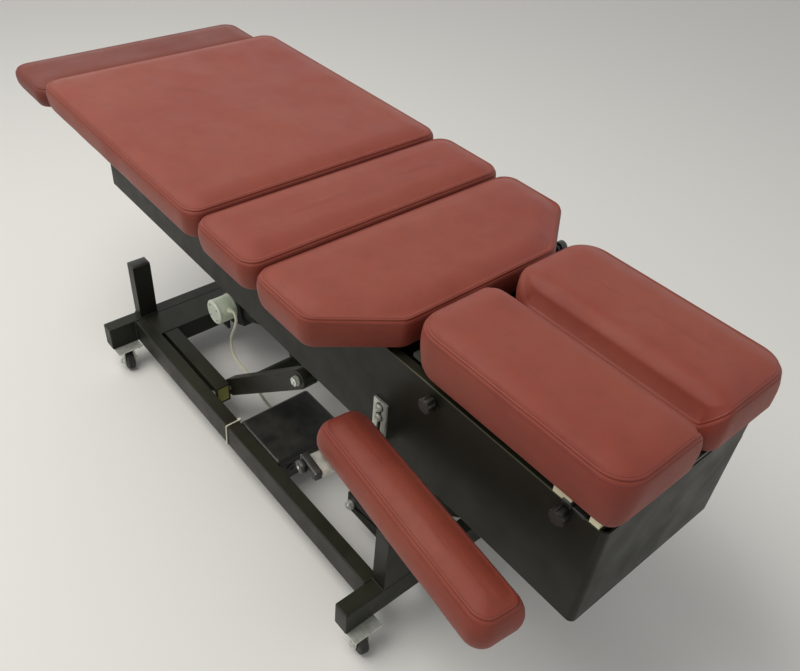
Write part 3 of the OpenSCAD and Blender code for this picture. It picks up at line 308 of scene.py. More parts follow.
# Mesh helpers
def make_object(name, verts, faces, mats, smooth=True, indices=None, body=None):
    mesh = bpy.data.meshes.new(name)
    mesh.from_pydata([tuple(v) for v in verts], [], faces)
    for m in mats if isinstance(mats, (list, tuple)) else [mats]:
        mesh.materials.append(m)
    if indices:
        mesh.polygons.foreach_set("material_index", indices)
    mesh.polygons.foreach_set("use_smooth", [smooth] * len(mesh.polygons))
    mesh.update()
    obj = add_object(name, mesh)
    if body:
        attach(obj, body)
    return obj


def yawed(degrees):
    return Matrix.Rotation(math.radians(degrees), 3, "Z")


def angles(count, phase=0.0):
    """Even steps round a circle."""
    return [2 * math.pi * k / count + phase for k in range(count)]


def circle(centre, u, w, r, count, phase=0.0, lobes=0, depth=0.0):
    """Points round a centre, from u towards w, with lobes if asked."""
    return [centre + (u * math.cos(g) + w * math.sin(g)) * (r * (1 + depth * math.cos(lobes * g)))
            for g in angles(count, phase)]


def ring_faces(a, b, n):
    """The faces between rings of n points that start at a and b."""
    return [(a + k, a + (k + 1) % n, b + (k + 1) % n, b + k) for k in range(n)]


def corner_arc(before, corner, after, r, steps):
    u, v = (before - corner).normalized(), (after - corner).normalized()
    half = math.acos(max(-1, min(1, u.dot(v)))) / 2
    mid = corner + (u + v).normalized() * r / math.sin(half)
    start = corner + u * (r / math.tan(half)) - mid
    turn = math.pi - 2 * half
    out = []
    for k in range(steps + 1):
        c, s = math.cos(turn * k / steps), math.sin(turn * k / steps)
        out.append(mid + Vector((start.x * c - start.y * s, start.x * s + start.y * c)))
    return out


def arcs(corners, r, steps=9):
    """The corner points of a rounded outline; r is one radius or one per corner."""
    c = [Vector(p) for p in corners]
    n = len(c)
    radii = r if isinstance(r, (list, tuple)) else [r] * n
    return [p for i in range(n) for p in corner_arc(c[i - 1], c[i], c[(i + 1) % n], radii[i], steps)]


def part_counts(points, step):
    """How many parts of about one step each run of an outline takes."""
    n = len(points)
    return [max(1, int((points[(i + 1) % n] - points[i]).length / step)) for i in range(n)]


def divided(points, parts):
    """The outline with each run cut into its number of parts."""
    out = []
    for i, p in enumerate(points):
        q = points[(i + 1) % len(points)]
        out += [p.lerp(q, k / parts[i]) for k in range(parts[i])]
    return out


def run_lengths(points):
    """The distance to each point round a closed line, and the whole length."""
    run = [0.0]
    for i, p in enumerate(points):
        run.append(run[-1] + (points[(i + 1) % len(points)] - p).length)
    return run


def oblong(hx, hy):
    return [(-hx, -hy), (hx, -hy), (hx, hy), (-hx, hy)]


def slanted(hx, hy, slant_x, slant_y):
    """An oblong with its head-end corners cut at a slant."""
    near = [(-hx, -hy), (hx - slant_x, -hy), (hx, slant_y - hy)]
    return near + [(x, -y) for x, y in reversed(near)]


# Cushions: outlines
OUTLINE_STEP = 9.0
CORNER_R = 30
CHEST_SLANT = (92, 122)
FACE_HALF = 192
# corner radii of a face cushion at its seam and at its foot, and of an armrest, for the left side
FACE_SEAM_R = (46, 46, 26, 40)
FACE_FOOT_R = (46, 24, 22, 46)
ARMREST_R = (20, 30, 18, 30)

# rings from the underside up, as (inset, height); the heights of the wall are shares of the thickness
UNDERSIDE = [(26, 0.0), (16, 0.0), (11.0, 0.0)]
FOOT = [(8.2, 1.6), (6.2, 4.6), (4.0, 9.5)]
WALL = [(2.2, 0.32), (0.8, 0.5), (0.2, 0.68), (0.7, 0.82)]
# rings over the seam, as (inset, inset on a rolled side, which has no seam, height from the seam's line)
SEAM = [(1.7, 1.7, -5.0), (2.6, 2.6, -2.6), (3.3, 3.0, -1.3), (4.6, 3.4, -0.7), (4.9, 4.0, 0.4),
        (4.6, 4.9, 1.5), (5.8, 6.1, 2.5), (8.0, 8.0, 3.3)]
LOWER_STITCHES = len(UNDERSIDE + FOOT + WALL)
UPPER_STITCHES = LOWER_STITCHES + len(SEAM) - 1
# rings on the top: the first inset, how near the middle they go, and their steps up to an inset
TOP_FROM, TOP_END = 11.0, 3
TOP_STEPS = ((30, 3.5), (90, 6.0), (math.inf, 12.0))

# crown: height, start from the seam, reach at most and as a share of the half width, and power
CROWN = 12
CROWN_FROM, CROWN_REACH, CROWN_SHARE, CROWN_POWER = 4.5, 44.0, 0.8, 1.8
# ridge behind the seam: how fast it fades into the crown
RIDGE_FADE = 7.0
# rolled edge of the slot between the face cushions: radius, and how far from the head end it stops
ROLL, ROLL_END = 34.0, 30
# draw-in towards the seam: the share of the height where it starts, and power
DRAW_FROM, DRAW_POWER = 0.35, 1.3
# hang of a face cushion's outer foot: fade upwards, start across, run, and the first inset left flat
HANG_FADE, HANG_START, HANG_RUN, HANG_FLAT = 8.0, 34, 30, 12
# swells of the top: wavelength, seed factor, seed shift and height of each; run-in from the seam
SWELLS = ((120.0, 7.7, 0, 0.8), (38.0, 2.3, 9, 0.22))
SWELL_RUN = 40.0
# bulge of the wall: wavelengths round and up, seed shift and height; start, and end above the seam
BULGE_ROUND, BULGE_UP, BULGE_SEED, BULGE = 60.0, 40.0, 4.2, 0.8
BULGE_START, BULGE_END = 1, 2
# puckers beside the seam: wavelengths round and up, seed factor, height, and level in the noise on the top
PUCKER_ROUND, PUCKER_UP, PUCKER_SEED, PUCKER, PUCKER_TOP = 9.0, 30.0, 3.1, 0.4, 1.5
# their fade down the wall and in over the top, and the inset where that starts
PUCKER_DOWN, PUCKER_IN, PUCKER_START = 7.0, 10.0, 5


class Cushion:
    """The form of one cushion, from the middle of its underside.

    side turns the rolled edge to +y or -y, lean sets the wall back at both ends, and at the head end
    only towards its top, draw narrows the cushion towards its seam, and hang lowers its outer foot."""

    def __init__(self, corners, thick, seam_r, foot_r, seed, side, lean, draw, hang):
        self.thick, self.seed, self.side = thick, seed, side
        self.lean, self.draw, self.hang = lean, draw, hang
        self.hx, self.hy = max(c[0] for c in corners), max(c[1] for c in corners)
        foot, seam = arcs(corners, foot_r), arcs(corners, seam_r)
        parts = part_counts(seam, OUTLINE_STEP)
        self.foot, self.seam = divided(foot, parts), divided(seam, parts)
        self.n = len(self.seam)
        self.run = run_lengths(self.seam)
        self.small = min(self.hx, self.hy) - draw
        self.reach = min(CROWN_REACH, CROWN_SHARE * self.small)
        self.rolled = [side != 0 and self.hy - side * p.y < ROLL and p.x < self.hx - ROLL_END
                       for p in self.seam]
        self.edges = []
        for i, c in enumerate(corners):
            a, b = Vector(c), Vector(corners[(i + 1) % len(corners)])
            way = (b - a).normalized()
            normal = Vector((-way.y, way.x))
            self.edges.append((normal, normal.dot(a)))

    def crown(self, x, y):
        rise = 1.0
        for normal, offset in self.edges:
            inside = normal.x * x + normal.y * y - offset - CROWN_FROM - self.draw
            rise *= 1 - (1 - max(0.0, min(1.0, inside / self.reach))) ** CROWN_POWER
        return CROWN * rise

    def roll(self, y):
        """Drop of the rolled edge, a quarter round."""
        if self.side == 0:
            return 0.0
        inside = max(0.0, min(ROLL, self.hy - self.side * y))
        return ROLL - math.sqrt(ROLL * ROLL - (ROLL - inside) ** 2)

    def droop(self, y, z):
        """Drop of the outer foot."""
        across = (-self.side * y - self.hy + HANG_START) / HANG_RUN
        return self.hang * math.exp(-z / HANG_FADE) * min(1.0, max(0.0, across))

    def swell(self, x, y):
        return sum(noise.noise(Vector((x / wave, y / wave, self.seed * factor + shift))) * height
                   for wave, factor, shift, height in SWELLS)

    def pucker(self, i, level):
        return noise.noise(Vector((self.run[i] / PUCKER_ROUND, self.seed * PUCKER_SEED, level))) * PUCKER

    def bulge(self, i, z):
        wave = noise.noise(Vector((self.run[i] / BULGE_ROUND, z / BULGE_UP, self.seed + BULGE_SEED))) * BULGE
        near_seam = math.exp(-abs(z - self.thick) / PUCKER_DOWN)
        return max(0.0, wave + self.pucker(i, z / PUCKER_UP) * near_seam)

    def wall_point(self, i, inset, z):
        share = min(1.0, z / self.thick)
        p = self.foot[i].lerp(self.seam[i], share)
        drawn = inset + self.draw * max(0.0, (share - DRAW_FROM) / (1 - DRAW_FROM)) ** DRAW_POWER
        end = drawn + self.lean * (share if p.x > 0 else 1)
        x, y = p.x * (self.hx - end) / self.hx, p.y * (self.hy - drawn) / self.hy
        height = z - self.roll(p.y) * share
        if inset < HANG_FLAT:
            height -= self.droop(p.y, z)
        if BULGE_START < z < self.thick + BULGE_END:
            bulge = self.bulge(i, z)
            x -= p.x / self.hx * bulge
            y -= p.y / self.hy * bulge
        return Vector((x, y, height))

    def top_point(self, i, inset):
        p = self.seam[i]
        x = p.x * (self.hx - inset - self.lean - self.draw) / self.hx
        y = p.y * (self.hy - inset - self.draw) / self.hy
        seam_inset, _, seam_height = SEAM[-1]
        inside = inset - seam_inset
        ridge = seam_height * math.exp(-inside / RIDGE_FADE)
        pucker = self.pucker(i, PUCKER_TOP) * math.exp(-(inset - PUCKER_START) / PUCKER_IN)
        fold = self.swell(x, y) * min(1.0, inside / SWELL_RUN) + pucker
        return Vector((x, y, self.thick + max(self.crown(x, y), ridge) + fold - self.roll(y)))

    def rings(self):
        levels = [(inset, inset, z) for inset, z in UNDERSIDE + FOOT]
        levels += [(inset, inset, share * self.thick) for inset, share in WALL]
        levels += [(inset, plain, self.thick + z) for inset, plain, z in SEAM]
        out = [[self.wall_point(i, plain if self.rolled[i] else inset, z) for i in range(self.n)]
               for inset, plain, z in levels]
        inset = TOP_FROM
        while inset < self.small - TOP_END:
            out.append([self.top_point(i, inset) for i in range(self.n)])
            inset += next(step for limit, step in TOP_STEPS if inset < limit)
        return out

    def centres(self):
        """The middle points of the underside and of the top."""
        return [Vector((0, 0, 0)), Vector((0, 0, self.thick + self.crown(0, 0) - self.roll(0)))]


def cushion(name, node, body, origin, corners, thick, seam_r, foot_r=None, yaw=0.0, seed=0, side=0,
            lean=0.0, draw=0.0, hang=0.0, cover=VINYL):
    """One cushion with a black underside, in place of its CAD node, and its two rows of stitches."""
    form = Cushion(corners, thick, seam_r, foot_r or seam_r, seed, side, lean, draw, hang)
    rings = form.rings()
    n, last = form.n, (len(rings) - 1) * form.n
    place, turn = Vector(origin), yawed(yaw)
    verts = [(place + turn @ p) * MM for ring in rings for p in ring]
    verts += [(place + p) * MM for p in form.centres()]
    faces = [face for k in range(len(rings) - 1) for face in ring_faces(k * n, (k + 1) * n, n)]
    index = [1] * n + [0] * (len(faces) - n)
    for i in range(n):
        j = (i + 1) % n
        faces += [(j, i, last + n), (last + i, last + j, last + n + 1)]
        index += [1, 0]
    obj = make_object(name, verts, faces, [cover, FELT], indices=index)
    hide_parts(node)
    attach(obj, body)
    rows = [verts[k * n:(k + 1) * n] for k in (LOWER_STITCHES, UPPER_STITCHES)]
    stitches(name + "_stitches", rows, body, form.rolled)


# Stitches: pitch, and how far the way out from the cushion may point up
STITCH_PITCH, STITCH_SIDES, STITCH_UP = 4.4, 5, 0.2
# rings of one stitch: share of the pitch, radius and height over the vinyl
STITCH = ((0.06, 0.22, -0.25), (0.22, 0.5, 0.12), (0.7, 0.5, 0.12), (0.86, 0.22, -0.25))


def resample(points, step, bare):
    """Points at even distances round a closed line, each with whether it lies on a bare run."""
    run = run_lengths(points)
    count = max(8, int(run[-1] / step))
    out, i = [], 0
    for k in range(count):
        d = run[-1] * k / count
        while run[i + 1] < d:
            i += 1
        share = (d - run[i]) / max(1e-9, run[i + 1] - run[i])
        out.append((points[i].lerp(points[(i + 1) % len(points)], share), bare[i]))
    return out


def stitches(name, rows, body, bare):
    """Topstitching along closed rows, left out on bare runs."""
    verts, faces = [], []
    for row in rows:
        centre = sum(row, Vector()) / len(row)
        points = resample(row, STITCH_PITCH * MM, bare)
        for k, (a, hidden) in enumerate(points):
            if hidden:
                continue
            b = points[(k + 1) % len(points)][0]
            way = (b - a).normalized()
            out = a - centre
            out = out - way * out.dot(way)
            out.z = abs(out.z) * STITCH_UP
            out.normalize()
            side = way.cross(out).normalized()
            first = len(verts)
            for share, radius, height in STITCH:
                verts += circle(a.lerp(b, share) + out * height * MM, out, side, radius * MM, STITCH_SIDES)
            for r in range(len(STITCH) - 1):
                start = first + r * STITCH_SIDES
                faces += ring_faces(start, start + STITCH_SIDES, STITCH_SIDES)
    make_object(name, verts, faces, THREAD, body=body)


# Cushions: places
def deck_cushion(word, body, seed, slant=None, cover=VINYL):
    low, high = node_box(word + "_cushion")
    half, half_width = (high[0] - low[0]) / 2, high[1]
    corners = slanted(half, half_width, *slant) if slant else oblong(half, half_width)
    cushion("cushion_" + word, word + "_cushion", body, ((low[0] + high[0]) / 2, 0, low[2]), corners,
            high[2] - low[2] - CROWN, CORNER_R, seed=seed, cover=cover)


def by_side(s, radii):
    """The left side's corner radii in the order of that side's corners."""
    return list(radii if s < 0 else reversed(radii))


def face_cushion(s, word):
    low, high = node_box("head_cushion_right")
    origin = ((low[0] + high[0]) / 2, s * (low[1] + high[1]) / 2, low[2])
    cushion("cushion_face_" + word, "head_cushion_" + word, "head_section", origin,
            oblong(FACE_HALF, (high[1] - low[1]) / 2), high[2] - low[2] - CROWN,
            by_side(s, FACE_SEAM_R), by_side(s, FACE_FOOT_R), seed=5 + s, side=-s, lean=5, hang=6)


def armrest_cushion(s, word):
    pin_x, pin_y = ARMREST_PIN
    mid = yawed(s * ARMREST_YAW) @ Vector((ARMREST_HALF - ARMREST_BEHIND, s * ARMREST_OUT, 0))
    cushion("cushion_armrest_" + word, "armrest_cushion_" + word, "armrest_" + word,
            (pin_x + mid.x, s * pin_y + mid.y, ARMREST_Z), oblong(ARMREST_HALF, ARMREST_HALF_WIDTH),
            ARMREST_T, by_side(s, ARMREST_R), yaw=s * ARMREST_YAW, seed=8 + s, draw=8)


deck_cushion("ankle", "ankle_section", seed=1, cover=DARKER_VINYL)
deck_cushion("leg", "deck", seed=2)
deck_cushion("pelvic", "pelvic_section", seed=3)
deck_cushion("chest", "chest_section", seed=4, slant=CHEST_SLANT)
for s, word in SIDES:
    face_cushion(s, word)
    armrest_cushion(s, word)


# CAD nodes: finish and eased edges
WELD_WITHIN = 0.02
SHARP_ANGLE = 35


def bevel(obj, width, segments):
    weld = obj.modifiers.new("weld", "WELD")
    weld.merge_threshold = WELD_WITHIN * MM
    edge = obj.modifiers.new("bevel", "BEVEL")
    edge.width = width * MM
    edge.segments = segments
    edge.limit_method = "ANGLE"
    edge.angle_limit = math.radians(SHARP_ANGLE)
    edge.harden_normals = True


def finish_nodes(names, mat, width=None, segments=2):
    """Gives CAD nodes a material, and eased edges if a width is given."""
    for name in names:
        obj = NODES[name]
        obj.data.materials.clear()
        obj.data.materials.append(mat)
        if width:
            bevel(obj, width, segments)


def left_right(*words):
    return [word + "_" + side for word in words for _, side in SIDES]


finish_nodes(left_right("base_rail", "foot_beam")
             + ["foot_crossbar", "head_crossbar", "foot_channel", "head_beams", "corner_posts"],
             POWDER, width=2.4, segments=3)
finish_nodes(["actuator_bracket", "deck_hangers", "deck_plate", "head_frame", "pelvic_carriage",
              "chest_carriage", "foot_end_panel", "ankle_slide"], POWDER, width=0.6)
finish_nodes(left_right("foot_arm", "head_arm") + ["foot_arm_tube", "head_arm_tube"],
             POWDER, width=1.5, segments=3)
finish_nodes(left_right("side_panel") + ["head_end_panel"], PANEL)
finish_nodes(["base_pivot_bolts", "deck_pivot_bolts", "strap_bolts", "caster_plates", "actuator_rod"]
             + left_right("armrest_strap", "armrest_carrier")
             + ["caster_fork_" + corner for corner in CASTERS], ZINC, width=0.4)
finish_nodes(["caster_wheel_" + corner for corner in CASTERS], RUBBER, width=0.6)
finish_nodes(["actuator_housing", "tilt_knob", "drop_knob", "chest_lever"], BLACK, width=0.7)
finish_nodes(["control_box"], BLACK)
finish_nodes(["actuator_motor"], SHELL, width=1.2, segments=3)
finish_nodes(["rest_pads"], CREAM, width=0.6)
finish_nodes(["beam_plugs"], PLUG, width=0.6)


# Small pieces, with a weld bead's steps and ripple
BEAD_STEP, RIPPLE, RIPPLE_PITCH = 0.9, 0.16, 3.0


class Build:
    """The mesh of one piece from turned, blocky and swept forms, in mm."""

    def __init__(self):
        self.verts, self.faces, self.indices = [], [], []

    def rings(self, rings, mat, closed=False):
        first, n, count = len(self.verts), len(rings[0]), len(rings)
        for ring in rings:
            self.verts += [p * MM for p in ring]
        for r in range(count if closed else count - 1):
            self.faces += ring_faces(first + r * n, first + (r + 1) % count * n, n)
            self.indices += [mat] * n
        if not closed:
            last = first + (count - 1) * n
            self.faces += [tuple(reversed(range(first, first + n))), tuple(range(last, last + n))]
            self.indices += [mat, mat]

    def lathe(self, origin, axis, profile, sides=28, mat=0, lobes=0, depth=0.0, phase=0.0):
        """A turned form: (radius, height) pairs along an axis, with lobes round its rim."""
        a = Vector(axis).normalized()
        u = a.orthogonal().normalized()
        w = a.cross(u)
        rings = [circle(Vector(origin) + a * h, u, w, r, sides, phase, lobes, depth) for r, h in profile]
        self.rings(rings, mat)

    def tube(self, points, r, sides=10, mat=0, closed=False, ripple=0.0):
        """A swept round form, rippled like a weld if asked."""
        pts = [Vector(p) for p in points]
        n = len(pts)
        ways = []
        for i in range(n):
            before = pts[i - 1] if closed or i else pts[i]
            after = pts[(i + 1) % n] if closed or i < n - 1 else pts[i]
            ways.append((after - before).normalized())
        u = ways[0].orthogonal().normalized()
        rings, run = [], 0.0
        for i in range(n):
            u = (u - ways[i] * u.dot(ways[i])).normalized()
            radius = r * (1 + ripple * math.sin(2 * math.pi * run / RIPPLE_PITCH))
            rings.append(circle(pts[i], u, ways[i].cross(u), radius, sides))
            if i < n - 1:
                run += (pts[i + 1] - pts[i]).length
        self.rings(rings, mat, closed)

    def bead(self, a, b, r=2.0):
        """A weld bead from a to b."""
        a, b = Vector(a), Vector(b)
        n = max(4, int((b - a).length / BEAD_STEP))
        self.tube([a.lerp(b, k / n) for k in range(n + 1)], r, sides=8, ripple=RIPPLE)

    def block(self, low, high, r, segments=3, turn=None, about=None):
        """A block with rounded edges, turned about a point."""
        bm = bmesh.new()
        bmesh.ops.create_cube(bm, size=1.0)
        low, high = Vector(low), Vector(high)
        for p in bm.verts:
            p.co = Vector((a + (b - a) * (c + 0.5) for a, b, c in zip(low, high, p.co)))
        bmesh.ops.bevel(bm, geom=bm.edges[:], offset=r, segments=segments, profile=0.5, affect="EDGES")
        first = len(self.verts)
        bm.verts.index_update()
        for p in bm.verts:
            q = p.co if turn is None else Vector(about) + turn @ (p.co - Vector(about))
            self.verts.append(q * MM)
        for face in bm.faces:
            self.faces.append(tuple(first + p.index for p in face.verts))
            self.indices.append(0)
        bm.free()

    def blocks(self, low, high, parts):
        """Blocks at (offset from low, offset from high, edge radius)."""
        for from_low, from_high, r in parts:
            self.block(Vector(low) + Vector(from_low), Vector(high) + Vector(from_high), r)

    def slab(self, line, low, high, r):
        """A plate of that outline with eased edges."""
        mid = sum((Vector((p.x, p.y)) for p in line), Vector((0, 0))) / len(line)
        ease = 0.3 * r
        levels = [(r, low), (ease, low + ease), (0, low + r), (0, high - r), (ease, high - ease), (r, high)]
        rings = []
        for inset, z in levels:
            rings.append([Vector((*(p - (p - mid).normalized() * inset), z)) for p in line])
        self.rings(rings, 0)

    def make(self, name, mats, body, angle=38):
        """The piece, its edges sharp where they turn by more than that many degrees."""
        obj = make_object(name, self.verts, self.faces, mats, indices=self.indices, body=body)
        obj.data.set_sharp_from_angle(angle=math.radians(angle))
        return obj


def smooth_path(points, per):
    """A Catmull-Rom curve through the points, that many steps from each to the next."""
    p = [Vector(q) for q in points]
    p = [p[0] * 2 - p[1], *p, p[-1] * 2 - p[-2]]
    out = []
    for i in range(1, len(p) - 2):
        a, b, c, d = p[i - 1:i + 3]
        for t in (k / per for k in range(per)):
            bent = 2 * b + (c - a) * t + (2 * a - 5 * b + 4 * c - d) * t * t
            out.append(0.5 * (bent + (3 * b - a - 3 * c + d) * t ** 3))
    return out + [p[-2]]


# Motor lead, on the route of its CAD node
LEAD_POINTS = [(-278, -74, 209.4), (-268, -74, 213), (-257, -76, 212), (-250, -78, 203), (-250, -80, 190),
               (-257, -81, 172), (-266, -82, 152), (-272, -83, 130), (-271, -84, 108), (-262, -86, 92),
               (-246, -87, 83), (-226, -88, 81), (-200, -90, 83), (-160, -96, 86), (-120, -104, 88),
               (-80, -110, 88), (-42, -112, 88)]
LEAD_R = 3.5


def motor_lead():
    b = Build()
    b.tube(smooth_path(LEAD_POINTS, per=5), LEAD_R, sides=14)
    lead = b.make("motor_lead_cable", LEAD, None)
    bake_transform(lead)
    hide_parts("motor_lead")


# Pivot bolts: a hexagon nut on each head, and the bolt's turned end, as (radius, height)
NUT = [(9.6, 0), (10.4, 0.7), (10.4, 4.3), (9.5, 5.2), (4.6, 5.2)]
STUD = [(4.3, 4.6), (4.3, 7.4), (3.5, 8.0)]


def pivot_nuts(name, body, faces, run, rise, turned):
    b = Build()
    for pivot_x, face in zip(PIVOT_X, faces):
        x = pivot_x + run
        for s in BOTH:
            spot = (x, s * face, PIVOT_Z + rise)
            b.lathe(spot, (0, s, 0), NUT, sides=6, phase=turned * s + x)
            b.lathe(spot, (0, s, 0), STUD, sides=18)
    b.make(name, ZINC, body, angle=20)


# Welds of the base: radii, how far a bead stands off its corner, and how far it stops short of the ends
THIN_BEAD, WIDE_BEAD = 1.5, 2.2
BEAD_OFF = 0.4
RAIL_BEAD_END, BEAM_BEAD_END = 2, 1


def base_welds():
    b = Build()
    rail_low, rail_high = RAIL_LOW + RAIL_BEAD_END, RAIL_TOP - RAIL_BEAD_END
    beam_low, beam_high = BEAM_LOW + BEAM_BEAD_END, BEAM_TOP - BEAM_BEAD_END
    z = RAIL_TOP + BEAD_OFF
    for s in BOTH:
        for x0, x1, y_in, face in POSTS:
            for y in (y_in, POSTS_OUT):
                b.bead((x0, s * y, z), (x1, s * y, z))
            b.bead((face, s * y_in, z), (face, s * POSTS_OUT, z))
        for x in CROSSBAR_FACES:
            b.bead((x, s * (RAIL_IN + 0.5), RAIL_TOP), (x, s * (RAIL_OUT - 1), RAIL_TOP), THIN_BEAD)
            y = s * (RAIL_OUT + BEAD_OFF)
            b.bead((x, y, rail_low), (x, y, rail_high), WIDE_BEAD)
        x = CHANNEL_FACE
        for y in (s * BEAM_IN, s * BEAM_OUT):
            b.bead((x, y, beam_low), (x, y, beam_high))
        b.bead((x, s * (BEAM_IN + 1), BEAM_TOP), (x, s * (BEAM_OUT - 1), BEAM_TOP), THIN_BEAD)
        x, y = HEAD_BEAM_END - BEAD_OFF, s * HEAD_BEAM_OUT
        b.bead((x, y, beam_low), (x, y, beam_high))
    b.make("base_welds", POWDER, "base", angle=60)


# Post caps: the cap and the raised panel on it, from the corners of the post's top
CAP_BLOCKS = (((-0.4, -0.4, -0.4), (0.4, 0.4, 3.2), 1.7), ((4, 4, 2.4), (-4, -4, 4.2), 0.8))


def post_caps():
    b = Build()
    for s in BOTH:
        for x0, x1, y_in, _ in POSTS:
            low_y, high_y = sorted((s * y_in, s * POSTS_OUT))
            b.blocks((x0, low_y, POST_TOP), (x1, high_y, POST_TOP), CAP_BLOCKS)
    b.make("post_caps", BLACK, "base")


# Motor: end cap, the band at the shell's other end, screws in a ring on the cap, and the lead's boot
END_CAP = [(30.9, 0), (31.2, 0.8), (31.2, 5.2), (29.6, 7.0), (27.0, 7.8), (25.5, 7.8), (24.9, 7.2), (3, 7.0)]
SHELL_BAND = [(30.7, 0), (31.1, 0.6), (31.1, 4.4), (30.7, 5.0)]
CAP_SCREW = [(2.6, 0), (2.6, 0.8), (2.0, 1.4), (1.0, 1.4)]
CAP_SCREWS, CAP_SCREW_RING, CAP_SCREW_OUT = 4, 21, 7.1
BOOT = [(6.4, 0), (6.4, 4), (5.4, 6), (4.6, 9), (4.2, 13)]
BOOT_BACK = 3


def motor_end_cap():
    tilt = Matrix.Rotation(math.radians(ACTUATOR_TILT), 3, "Y")
    along, up = MOTOR_AXIS
    centre = Vector(ACTUATOR_PIN) + tilt @ Vector((along, 0, up))
    centre.y = MOTOR_FACE
    b = Build()
    b.lathe(centre, (0, -1, 0), END_CAP, sides=48, mat=1)
    b.lathe(centre + Vector((0, MOTOR_LENGTH, 0)), (0, 1, 0), SHELL_BAND, sides=48)
    for g in angles(CAP_SCREWS, phase=math.pi / CAP_SCREWS):
        spot = centre + Vector((CAP_SCREW_RING * math.cos(g), -CAP_SCREW_OUT, CAP_SCREW_RING * math.sin(g)))
        b.lathe(spot, (0, -1, 0), CAP_SCREW, sides=14, mat=2)
    b.make("motor_end_cap", [SHELL, CAP, DULL_ZINC], "actuator")


def motor_lead_boot():
    start = Vector(LEAD_POINTS[0])
    way = (Vector(LEAD_POINTS[1]) - start).normalized()
    b = Build()
    b.lathe(start - way * BOOT_BACK, way, BOOT, sides=20)
    b.make("motor_lead_boot", LEAD, "actuator")


# Control box: groove of the lid, its screws, the lead's gland, sockets and the tabs on the rail
LID_Z, LID_OUT, LID_R, LID_STEP = 99, 0.3, 10, 20
GROOVE_R = 0.7
BOX_SCREW = [(3.8, 0), (3.8, 0.6), (3.0, 1.2), (1.2, 1.3)]
BOX_SCREW_IN, BOX_SCREW_SINK = 11, 0.4
GLAND = [(9, -1), (9, 3), (7.6, 3.6), (7.6, 8), (6.2, 11), (4.6, 13)]
SOCKET = [(9, -0.5), (9, 2.0), (8.2, 2.8), (5.6, 2.8), (5.4, 1.2), (1, 1.2)]
SOCKETS_Y, SOCKET_Z = (-170, -140, -80), 84
TABS_X, TAB_Z = ((-36, 30), (54, 84), (99, 107)), (84, 108)
# a tab's faces from the rail's inner one
TAB_BACK, TAB_FRONT = -0.2, 2.8


def box_fittings():
    (x0, x1), (y0, y1) = BOX_X, BOX_Y
    middle = Vector(((x0 + x1) / 2, (y0 + y1) / 2))
    b = Build()
    corners = oblong((x1 - x0) / 2 + LID_OUT, (y1 - y0) / 2 + LID_OUT)
    lid = [middle + p for p in arcs(corners, LID_R, steps=6)]
    groove = [Vector((*p, LID_Z)) for p in divided(lid, part_counts(lid, LID_STEP))]
    b.tube(groove, GROOVE_R, sides=6, mat=1, closed=True)
    for y in (y0 + BOX_SCREW_IN, y1 - BOX_SCREW_IN):
        for x in (x0 + BOX_SCREW_IN, x1 - BOX_SCREW_IN):
            b.lathe((x, y, BOX_TOP - BOX_SCREW_SINK), (0, 0, 1), BOX_SCREW, sides=18)
    b.lathe(Vector(LEAD_POINTS[-1]) - Vector((1, 0, 0)), (-1, 0, 0), GLAND, sides=6)
    for y in SOCKETS_Y:
        b.lathe((x1, y, SOCKET_Z), (1, 0, 0), SOCKET, sides=24)
    low_z, high_z = TAB_Z
    for low_x, high_x in TABS_X:
        low, high = (low_x, TAB_BACK - RAIL_IN, low_z), (high_x, TAB_FRONT - RAIL_IN, high_z)
        b.block(low, high, 0.3, segments=1)
    b.make("box_fittings", [BLACK, RUBBER], "base")


# Cable tie round the left rail: place, lean along the rail, clearance and radius
TIE_X, TIE_LEAN, TIE_GAP, TIE_R = -38, 0.07, 1.8, 1.6
TIE_CORNER_R = 3.2
# the corners of its head, from the rail's top inner edge
TIE_HEAD = ((-0.5, -3, 0.5), (5.5, 4.5, 5.5))


def rail_tie():
    half_y, half_z = (RAIL_OUT - RAIL_IN) / 2, (RAIL_TOP - RAIL_LOW) / 2
    mid_y, mid_z = -(RAIL_IN + RAIL_OUT) / 2, (RAIL_TOP + RAIL_LOW) / 2
    loop = arcs(oblong(half_y + TIE_GAP, half_z + TIE_GAP), TIE_CORNER_R, steps=4)
    b = Build()
    b.tube([(TIE_X + TIE_LEAN * p.y, mid_y + p.x, mid_z + p.y) for p in loop], TIE_R, sides=8, closed=True)
    edge = Vector((TIE_X, -RAIL_IN, RAIL_TOP))
    b.block(edge + Vector(TIE_HEAD[0]), edge + Vector(TIE_HEAD[1]), 1.0)
    b.make("rail_tie", LEAD, "base")


# Brackets over the panels' rims between the rest pads: x, sides from the panel's face, and their two blocks
BRACKET_X, BRACKET_IN, BRACKET_OUT = 726, 6.5, 2.6
BRACKET_BLOCKS = (((0, 0, -7), (15, 0, 5), 2.4), ((18, 0.5, -3), (38, -1.5, 2.6), 1.6))


def rim_brackets():
    b = Build()
    for s in BOTH:
        low_y, high_y = sorted((s * (PANEL_FACE - BRACKET_IN), s * (PANEL_FACE + BRACKET_OUT)))
        b.blocks((BRACKET_X, low_y, PANEL_TOP), (BRACKET_X, high_y, PANEL_TOP), BRACKET_BLOCKS)
    b.make("rim_brackets", BLACK, "deck")


# Rims of the side panels, in a paler coat that paints a highlight along their edges: (y in from the face, z,
# radius, sides), and their parts.
# The upper ones stay under the cushions that drop.
RIMS = ((0.8, PANEL_TOP - 0.8, 1.2, 8), (0.6, PANEL_LOW + 0.4, 0.9, 6))
RIM_END_IN, RIM_PARTS = 1, 30


def panel_rims():
    start = PANEL_FOOT + RIM_END_IN
    step = (PANEL_HEAD - RIM_END_IN - start) / RIM_PARTS
    b = Build()
    for s in BOTH:
        for y_in, z, r, sides in RIMS:
            b.tube([(start + step * k, s * (PANEL_FACE - y_in), z) for k in range(RIM_PARTS + 1)], r, sides)
    b.make("panel_rims", RIM_HIGHLIGHT, "deck")
